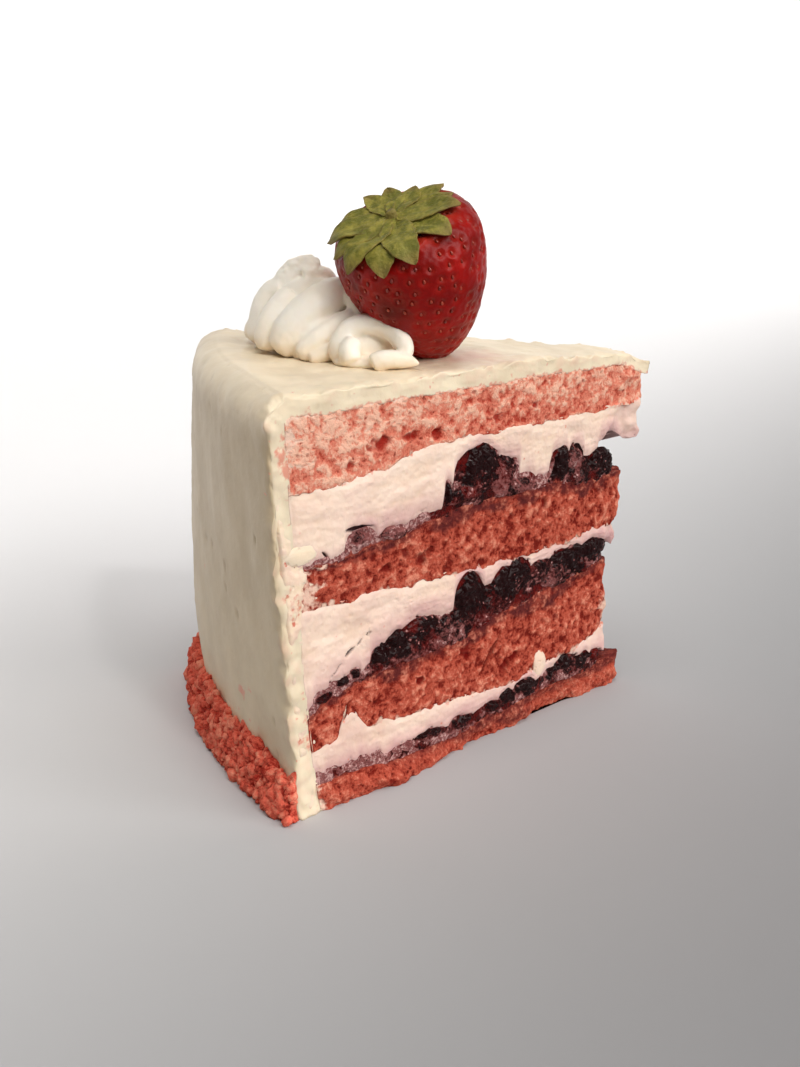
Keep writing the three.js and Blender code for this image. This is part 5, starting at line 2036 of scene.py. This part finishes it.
@dataclass
class Swirl:
    """The piped cream: rounded bodies under tapering folds, run together."""

    place: Triple = (-29.0, 5.0, 92.5)
    along: Triple = (0.926, -0.377, 0.0)
    forward: Triple = (-0.377, -0.926, 0.0)
    voxel: float = 0.25
    folds: dict[str, list[tuple[float, float, float, float]]] = field(
        default_factory=lambda: {
            "crest": [
                (-7, -2, 12, 2.6), (-3.6, -2.2, 16.8, 2.4),
                (-0.8, -2, 19.4, 1.7), (2.4, -3, 18.2, 1.9),
            ],
            "ridge": [(-1, -1, 15.4, 3.4), (2.6, -2, 16.4, 2.4), (4.8, -4.6, 15.6, 1.6), (7, -6, 11.6, 2.2)],
            "peak": [(6.6, 3, 10, 4), (8.6, 5.4, 14.4, 2.9), (9.8, 7.6, 17, 1.7), (10.6, 8.6, 19, 0.5)],
            "broad": [
                (10.4, 7, 16.4, 1.3), (7.4, 6.6, 14, 3.4), (3, 7.4, 10.6, 4.4),
                (-1.8, 9, 6.2, 4.2), (-6, 10.6, 1, 2.8),
            ],
            "flank": [(10.2, 8, 16, 1.8), (12, 9.4, 12.8, 2.6), (13, 10.4, 8.8, 3), (12, 11.6, 4, 3)],
            "second": [
                (13.4, 10.4, 11, 1.1), (9.2, 11.6, 8, 2.4),
                (4.2, 13.2, 4.8, 2.6), (-0.8, 14.6, 0.8, 1.9),
            ],
            "third": [(9.4, 13.4, 3.6, 1.6), (5.4, 15.4, 2, 1.7), (1.6, 16.4, 0.4, 1.2)],
            "arch": [
                (8.2, 18.4, 0.4, 1.7), (8.4, 17.4, 4.2, 2.1), (10.6, 16.4, 7.4, 2.1),
                (14.6, 16.2, 8.5, 2.1), (18.8, 17.4, 7.6, 2.1), (21.8, 19.4, 5, 2), (22.8, 21, 2, 1.7),
            ],
            "lobe": [(11.4, 21.4, 0.8, 2), (10.6, 20.4, 3, 2.1), (11.6, 18.8, 5.6, 1.8)],
            "tail": [
                (15.4, 23.4, 0.8, 2.1), (18.2, 23.2, 2, 2),
                (21.8, 22.4, 1.8, 1.7), (25.8, 21.2, 0.9, 0.5),
            ],
            "left": [
                (-4.6, -1, 13.4, 2.8), (-8.2, -2.2, 12, 2.9),
                (-10, -1.2, 7.4, 3), (-10.4, 1.4, 1.6, 2.6),
            ],
            "front": [(-2.6, 3, 12.8, 2.8), (-6, 4.6, 9.2, 3), (-8, 6.2, 4.4, 3), (-8.4, 7.2, 0.6, 2.2)],
            "side": [(-5, -6, 11, 3), (-9, -8, 7.2, 3.2), (-12.4, -9, 3.2, 2.6), (-13.4, -9.4, 0.6, 2)],
            "back": [(-2, -8, 10.4, 3.6), (-5, -13, 6, 4.2), (-7, -16, 0.8, 3)],
            "hind": [(2, -8, 10.6, 3.2), (2.4, -13, 6, 4.2), (2.4, -16.6, 0.8, 3)],
            "far": [(5.6, -7, 9, 3), (9.4, -11, 5, 3.8), (11.6, -13.6, 0.8, 2.8)],
        }
    )
    bodies: tuple[tuple[Triple, Triple], ...] = (
        ((0.5, -2, 5), (9, 11, 8.4)),
        ((1.6, 0.4, 11.4), (7.6, 5.4, 5.4)),
        ((5, 9, 2.4), (8, 7, 7.6)),
        ((14, 14.4, 2), (8, 3.6, 5.4)),
        ((15, 18.6, 0.6), (8, 4.4, 1.6)),
    )

    def at(self, local: Array) -> Array:
        """Points along, forward and up from the swirl's middle on the icing."""
        axes = np.array([self.along, self.forward, (0.0, 0.0, 1.0)])
        return np.array(self.place) + local @ axes

    def rolls(self) -> Skin:
        """The folds as tapering, lightly ribbed rolls, and the bodies as ellipsoids among them.

        Returns:
            All of them, overlapping.
        """
        skin = Skin()
        for stations in self.folds.values():
            line = smooth_line(np.array(stations, float), 14)
            middle = self.at(line[:, :3])
            ends = np.sqrt(np.clip(1 - (np.linspace(-1, 1, len(line)) ** 16), 0, 1))
            rings = tube(
                middle,
                line[:, 3] * (0.25 + 0.75 * ends),
                64,
                np.array([0.31, 0.87, 0.38]),
                lambda angle, place: 1.1 + 0.07 * np.abs(np.cos(2.5 * angle + 2 * place)) - 0.03,
            )
            skin.add_loft(middle[0], rings, middle[-1])
        for middle, half in self.bodies:
            polar = np.linspace(np.pi, 0, 24)[1:-1, None]
            turn = np.linspace(0, 2 * np.pi, 48, endpoint=False)[None]
            ring = np.sin(polar)
            ball = np.stack([ring * np.cos(turn), ring * np.sin(turn), np.cos(polar) + 0 * turn], -1)
            rings = self.at(np.array(middle) + ball[::-1] * np.array(half))
            top, low = (self.at(np.array(middle) + np.array([0, 0, s * half[2]])) for s in (1, -1))
            skin.add_loft(top, rings, low)
        return skin

    def build(self, look: Look) -> Piece:
        """Runs the rolls together in a fine voxel remesh, smooths the joins, adds relief and paints shade
        round its base.

        Args:
            look: the cream's material.

        Returns:
            The piece.
        """
        raw = self.rolls().build("cream_swirl_raw", look)
        join = raw.modifiers.new("join", "REMESH")
        join.mode = "VOXEL"
        join.voxel_size = self.voxel * MM
        soften = raw.modifiers.new("soften", "SMOOTH")
        soften.factor = 0.5
        soften.iterations = 14
        bpy.context.view_layer.update()
        graph = bpy.context.evaluated_depsgraph_get()
        mesh = bpy.data.meshes.new_from_object(raw.evaluated_get(graph))
        bpy.data.objects.remove(raw)
        count = len(mesh.vertices)
        co = np.zeros(count * 3, np.float32)
        mesh.vertices.foreach_get("co", co)
        p = co.reshape(-1, 3).astype(float) / MM - PLACE
        normal = np.zeros(count * 3, np.float32)
        mesh.vertices.foreach_get("normal", normal)
        normal = normal.reshape(-1, 3)
        relief = 0.1 * fractal(p, 2.6, 3, 501) + 0.14 * fractal(p * [0.5, 0.5, 1], 5.0, 2, 505)
        torn = ease((p[:, 2] - 107) / 4) * 0.35 * fractal(p, 1.6, 2, 507)
        p = p + normal * (relief + torn)[:, None]
        p[:, 2] = np.maximum(p[:, 2], FORM.height - 0.5)
        mesh.vertices.foreach_set("co", ((p + PLACE) * MM).astype(np.float32).ravel())
        # painted shade: the lowest 6 mm of the cream is painted darker and warmer
        low = ease(1 - (p[:, 2] - FORM.height) / 6)
        paint(mesh, stack(0.35 * low, 0 * low, 0 * low, 0 * low))
        mesh.polygons.foreach_set("use_smooth", np.full(len(mesh.polygons), True))
        mesh.materials.clear()
        mesh.materials.append(look)
        mesh.update()
        return link("cream_swirl_piped", mesh)


# ------------------------------------------------------------------ fruit and leaf finishes


@dataclass(frozen=True)
class FruitFinish:
    """Strawberry skin. Marks: nearness to a seed, paleness at the crown, mottle."""

    deep: tuple = rgb(92, 0, 0)
    bright: tuple = rgb(168, 12, 8)
    pale: tuple = rgb(204, 84, 56)

    def make(self, name: str) -> Look:
        """Makes the material.

        Args:
            name: its name.

        Returns:
            The material.
        """
        skin = {"coat": 0.16, "coat_roughness": 0.3, "specular": 0.1}
        look = Finish(name, 0.42, 0.1, 0.0015, (1.0, 0.12, 0.06), **skin)
        n = look.nodes
        seed, crown, mottle, _ = look.channels
        colour = n.blend(mottle, self.deep, self.bright)
        colour = n.blend(n.times(seed, 0.1), colour, self.pale)
        colour = n.blend(n.times(crown, 0.5), colour, self.pale)
        height = n.noise(look.place, 1400, 2, 0.5)
        return look.finish(colour, height, 0.00012)


@dataclass(frozen=True)
class SeedFinish:
    """Strawberry seeds, from straw to brown."""

    straw: tuple = rgb(178, 66, 42)
    brown: tuple = rgb(120, 20, 14)

    def make(self, name: str) -> Look:
        """Makes the material.

        Args:
            name: its name.

        Returns:
            The material.
        """
        look = Finish(name, 0.4, coat=0.2)
        n = look.nodes
        colour = n.blend(look.channels[0], self.straw, self.brown)
        return look.finish(colour, n.noise(look.place, 2500, 2), 0.0001)


@dataclass(frozen=True)
class LeafFinish:
    """Strawberry leaf. Marks: vein and dryness. The third, age, isn't read here."""

    green: tuple = rgb(104, 104, 34)
    vein: tuple = rgb(160, 154, 76)
    dry: tuple = rgb(132, 108, 62)
    aged: tuple = rgb(156, 146, 62)

    def make(self, name: str) -> Look:
        """Makes the material.

        Args:
            name: its name.

        Returns:
            The material.
        """
        look = Finish(name, 0.62, 0.1, 0.0006, (0.5, 0.8, 0.2), specular=0.3)
        n = look.nodes
        vein, dry, _, _ = look.channels
        mottle = n.noise(look.place, 420, 3, 0.6)
        colour = n.blend(n.ramp(mottle, 0.35, 0.7), self.green, self.aged)
        colour = n.blend(n.times(vein, 0.6), colour, self.vein)
        colour = n.blend(dry, colour, self.dry)
        height = n.plus(mottle, n.noise(look.place, 1600, 2))
        return look.finish(colour, height, 0.0003)


# ------------------------------------------------------------------ studio


@dataclass(frozen=True)
class Sun:
    """A sun lamp: its name, where it shines from, its power, spread in degrees and tint."""

    name: str
    origin: Triple
    power: float
    spread: float
    tint: Triple = (1.0, 0.98, 0.95)


@dataclass
class Studio:
    """Floor, lights and camera."""

    suns: tuple[Sun, ...] = (
        Sun("key", (0.66, -0.52, 0.36), 1.25, 30.0),
        Sun("front", (0.26, -0.72, 0.36), 1.1, 30.0),
        Sun("above", (-0.2, -0.34, 1.0), 1.5, 40.0),
        Sun("glint", (0.10, -0.62, 0.60), 0.4, 5.0),
    )
    warm: Triple = (1.0, 0.86, 0.68)
    card_power: float = 0.05
    sky_power: float = 0.04
    yaw: float = 0.38652
    pitch: float = 0.303
    roll: float = 0.020
    eye: Triple = (-119.245, -275.602, 140.521)

    def floor(self) -> Piece:
        """A pale floor that sweeps up into a backdrop: a profile carried sideways.

        Returns:
            The floor.
        """
        depth = np.array([-3.0, 1.4, *(1.4 + 0.6 * np.sin(np.linspace(0.1, np.pi / 2, 14)))])
        height = np.array([0.0, 0.0, *(0.6 - 0.6 * np.cos(np.linspace(0.1, np.pi / 2, 14)))])
        depth = np.append(depth, 2.0)
        height = np.append(height, 3.0)
        turn = math.radians(22.1)  # the way that the camera looks, seen from above
        across = np.array([math.cos(turn), -math.sin(turn)])
        ahead = np.array([math.sin(turn), math.cos(turn)])
        wide = np.array([-4.0, 4.0])
        flat = depth[:, None, None] * ahead + wide[None, :, None] * across
        p = np.concatenate([flat, np.broadcast_to(height[:, None, None], (*flat.shape[:2], 1))], -1)
        k = 2 * np.arange(len(depth) - 1)
        faces = np.stack([k, k + 1, k + 3, k + 2], -1)
        mesh = bpy.data.meshes.new("floor")
        mesh.from_pydata(p.reshape(-1, 3).tolist(), [], faces.tolist())
        mesh.polygons.foreach_set("use_smooth", np.full(len(mesh.polygons), True))
        look = bpy.data.materials.new("pale floor")
        look.use_nodes = True
        n = Nodes(look.node_tree)
        where = n.add("TexCoord").outputs["Object"]
        # painted light and shade: the floor's colour is graded from pale at the back, the left and up to
        # grey at the front and right
        painted_light_way = (-0.6, 0.9, 0.9)  # towards the back, the left and up
        shade = n.add("VectorMath", {"operation": "DOT_PRODUCT"}, i0=where, i1=painted_light_way).outputs["Value"]
        colour = n.blend(n.ramp(shade, -0.2, 0.3), rgb(142, 142, 144), rgb(250, 250, 252))
        shader = look.node_tree.nodes["Principled BSDF"]
        look.node_tree.links.new(colour, shader.inputs["Base Color"])
        shader.inputs["Roughness"].default_value = 0.9
        shader.inputs["Specular IOR Level"].default_value = 0.1
        mesh.materials.append(look)
        floor = link("floor", mesh)
        return floor

    @staticmethod
    def aim(name: str, lamp: bpy.types.Light, origin: Triple) -> Piece:
        """Links a lamp that shines from the side of origin.

        Args:
            name: the lamp's name.
            lamp: its data.
            origin: where it shines from.

        Returns:
            The lamp.
        """
        thing = link(name, lamp)
        thing.rotation_euler = Vector(origin).to_track_quat("Z", "Y").to_euler()
        return thing

    def lights(self) -> None:
        """Broad suns from the right, the front and above, a small one for glints, a card, a sky."""
        for sun in self.suns:
            lamp = bpy.data.lights.new(sun.name, "SUN")
            lamp.angle = math.radians(sun.spread)
            lamp.energy = sun.power
            lamp.color = sun.tint
            self.aim(sun.name, lamp, sun.origin)
        card = bpy.data.lights.new("card", "AREA")
        card.size = 0.22
        card.energy = self.card_power
        card.color = self.warm
        self.aim("card", card, (-1.0, 0.0, 0.0)).location = (-0.30, -0.04, 0.03)
        world = bpy.data.worlds.new("studio")
        bpy.context.scene.world = world
        world.use_nodes = True
        sky = world.node_tree.nodes["Background"]
        sky.inputs[0].default_value = (*self.warm, 1.0)
        sky.inputs[1].default_value = self.sky_power

    def camera(self) -> None:
        """The photograph's view: a 43.2 mm lens on a 36 mm sensor, 17.4 degrees down."""
        lens = bpy.data.cameras.new("view")
        lens.lens = 43.22
        lens.sensor_width = 36.0
        lens.clip_start = 0.01
        yaw, pitch, roll = self.yaw, self.pitch, self.roll
        flat = math.cos(pitch)
        ahead = Vector((math.sin(yaw) * flat, math.cos(yaw) * flat, -math.sin(pitch)))
        level = Vector((math.cos(yaw), -math.sin(yaw), 0.0))
        up = level.cross(ahead)
        right = math.cos(roll) * level + math.sin(roll) * up
        upward = -math.sin(roll) * level + math.cos(roll) * up
        turn = Matrix((right, upward, -ahead)).transposed().to_4x4()
        thing = link("view", lens)
        place = (np.array(self.eye) + PLACE) * MM
        thing.matrix_world = Matrix.Translation(place.tolist()) @ turn
        bpy.context.scene.camera = thing


# ------------------------------------------------------------------ putting it together


def dress(piece: Piece, slot: str, *nodes: str) -> None:
    """Rides a piece on the slice, in the place of the solids it stands for.

    Args:
        piece: the new piece.
        slot: a material slot's name; not used.
        *nodes: the solids that it replaces.
    """
    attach(piece, "root")
    if nodes:
        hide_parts(*nodes)
    LOG.info("%s: %d faces", piece.name, len(piece.data.polygons))


def table(x: Array, _: Array) -> Array:
    """The table's height at plan points."""
    return np.zeros_like(x)


def layers(effects: Effects) -> None:
    """Builds the sponges, creams and compotes, from the top down.

    Args:
        effects: the shared shader groups.
    """
    pale = SpongeFinish(
        dark=rgb(180, 66, 50), middle=rgb(230, 132, 108), light=rgb(252, 196, 170), pore=rgb(162, 34, 24)
    ).make(effects, "top sponge")
    deep = SpongeFinish().make(effects, "sponge")
    filling = CreamFinish(rgb(250, 224, 206), crumb=rgb(224, 132, 108), holes=0.14)
    cream = filling.make(effects, "filling cream")
    syrup = CompoteFinish().make("compote")
    upper, middle, lower = JamTop("upper"), JamTop("middle"), JamTop("lower")
    sponges = (
        Sponge(
            "sponge_top", FACES["icing_under"], FACES["top_sponge_under"], 3.4, 101,
            paleness=0.16, patchy=1.0, smear_top=0.8, smear_under=0.5, smear_rim=5.0,
            holes=(
                Hole(27.6, 79.0, 1.9, 1.5, 1.1),
                Hole(34.8, 79.4, 2.0, 1.2, 1.2),
                Hole(41.5, 79.2, 1.4, 1.2, 1.6),
                Hole(19.5, 76.0, 0.9, 0.9, 0.7),
                Hole(58.0, 80.0, 0.9, 0.7, 0.7),
                Hole(70.0, 81.0, 0.9, 0.7, 0.7),
            ),
        ),
        Sponge(
            "sponge_upper", FACES["upper_sponge_top"], FACES["upper_sponge_under"], 8.6, 102,
            stain_depth=2.4, smear_under=0.8, smear_rim=9.0,
            stain_share=Profile(
                ((0, 0.8), (30, 0.9), (44, 1.7), (70, 1.7), (80, 1.2), (92, 1.8), (106, 1.0))
            ),
            holes=(
                Hole(37.6, 51.0, 1.9, 1.9, 1.7),
                Hole(74.9, 56.5, 1.0, 1.5, 1.3),
                Hole(63.8, 55.0, 1.0, 0.9, 1.0),
                Hole(27.5, 51.4, 1.2, 0.9, 1.0),
                Hole(24.5, 49.4, 0.9, 0.8, 0.9),
                Hole(33.0, 53.6, 1.0, 1.3, 0.9),
                Hole(88.0, 51.0, 0.7, 0.8, 0.7),
            ),
        ),
        Sponge(
            "sponge_lower", FACES["lower_sponge_top"], FACES["lower_sponge_under"], 12.4, 103,
            stain_depth=2.4, smear_under=0.9, smear_rim=-1.0, tip_smear=14.0,
            stain_share=Profile(
                ((0, 0.6), (20, 0.8), (34, 1.6), (46, 1.0), (62, 1.4), (80, 3.2), (92, 1.0), (104, 0.4))
            ),
            holes=(
                Hole(50.4, 25.6, 1.6, 2.0, 0.9),
                Hole(63.8, 17.4, 1.9, 1.6, 2.0),
                Hole(67.0, 19.6, 1.4, 1.2, 1.2),
                Hole(81.0, 26.0, 1.0, 0.8, 0.8),
                Hole(36.0, 22.0, 1.0, 0.8, 0.9),
            ),
            slits=(Slit((54.4, 17.4), (61.8, 27.0), 0.7), Slit((12.6, 15.6), (16.4, 24.0), 0.5)),
        ),
        BaseSponge(
            "sponge_base", FACES["base_sponge_top"], table, 4.6, 104,
            stain_depth=3.4, smear_rim=2.5,
        ),
    )
    for layer, look in zip(sponges, (pale, deep, deep, deep)):
        dress(layer.build(look), "sponge", layer.node)
    creams = (
        CreamLayer(
            "cream_upper", FACES["top_sponge_under"], CreamUnder(upper), 4.2, 111, 4.5, 0.05,
            slits=(Slit((17.0, 62.4), (24.8, 62.0), 0.65), Slit((11.6, 59.2), (13.4, 57.0), 0.35)),
        ),
        CreamLayer(
            "cream_middle", FACES["upper_sponge_under"], middle, 9.4, 112, 6.0, 0.16,
            slits=(
                Slit((15.4, 34.4), (18.4, 36.2), 0.4),
                Slit((18.8, 36.2), (20.6, 37.2), 0.24),
                Slit((21.4, 37.6), (22.8, 38.2), 0.32),
                Slit((11.6, 30.8), (14.6, 33.4), 0.18),
            ),
        ),
        CreamLayer("cream_lower", FACES["lower_sponge_under"], lower, 10.8, 113, 4.5, 0.2),
    )
    for layer in creams:
        dress(layer.build(cream), "cream", layer.node)
    compotes = (
        Compote("jam_upper", "upper", 12.5, 121),
        Compote("jam_middle", "middle", 13.0, 122),
        Compote("jam_lower", "lower", 12.6, 123),
    )
    for layer in compotes:
        dress(layer.build(syrup), "compote", layer.node)


def main() -> None:
    """Builds the whole scene."""
    logging.basicConfig(level=logging.INFO, format="%(name)s: %(message)s")
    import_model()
    bpy.context.scene.view_settings.view_transform = "Standard"
    studio = Studio()
    studio.floor()
    studio.lights()
    studio.camera()
    effects = Effects()
    layers(effects)
    icing = CreamFinish(
        rgb(245, 229, 201), tint=rgb(234, 176, 158), crumb=rgb(228, 158, 136), shade=rgb(172, 150, 116),
        holes=0.08, depth=0.0002, roughness=0.42,
    )
    dress(Icing().build(icing.make(effects, "icing")), "icing", "icing")
    dragged = CreamFinish(rgb(250, 228, 202), shade=rgb(230, 200, 166), tint=rgb(232, 190, 178), holes=0.3)
    dress(Smears().build(dragged.make(effects, "smeared icing")), "icing")
    crumbs = SpongeFinish(
        dark=rgb(176, 48, 36), middle=rgb(240, 110, 88), light=rgb(255, 162, 134), pore=rgb(140, 22, 14)
    ).make(effects, "crumbs")
    dress(CrumbBand().build(crumbs), "crumbs", "crumb_band")
    fruit = Fruit()
    body, seeds = fruit.build(FruitFinish().make("strawberry"), SeedFinish().make("seeds"))
    dress(body, "fruit", "strawberry")
    dress(seeds, "fruit")
    dress(Calyx(fruit).build(LeafFinish().make("leaf")), "leaf", "calyx")
    whipped = CreamFinish(
        rgb(255, 248, 236), shade=rgb(246, 214, 172), holes=0.1, depth=0.0002, roughness=0.45
    )
    dress(Swirl().build(whipped.make(effects, "whipped cream")), "whipped_cream", "cream_swirl")


if __name__ == "__main__":
    main()
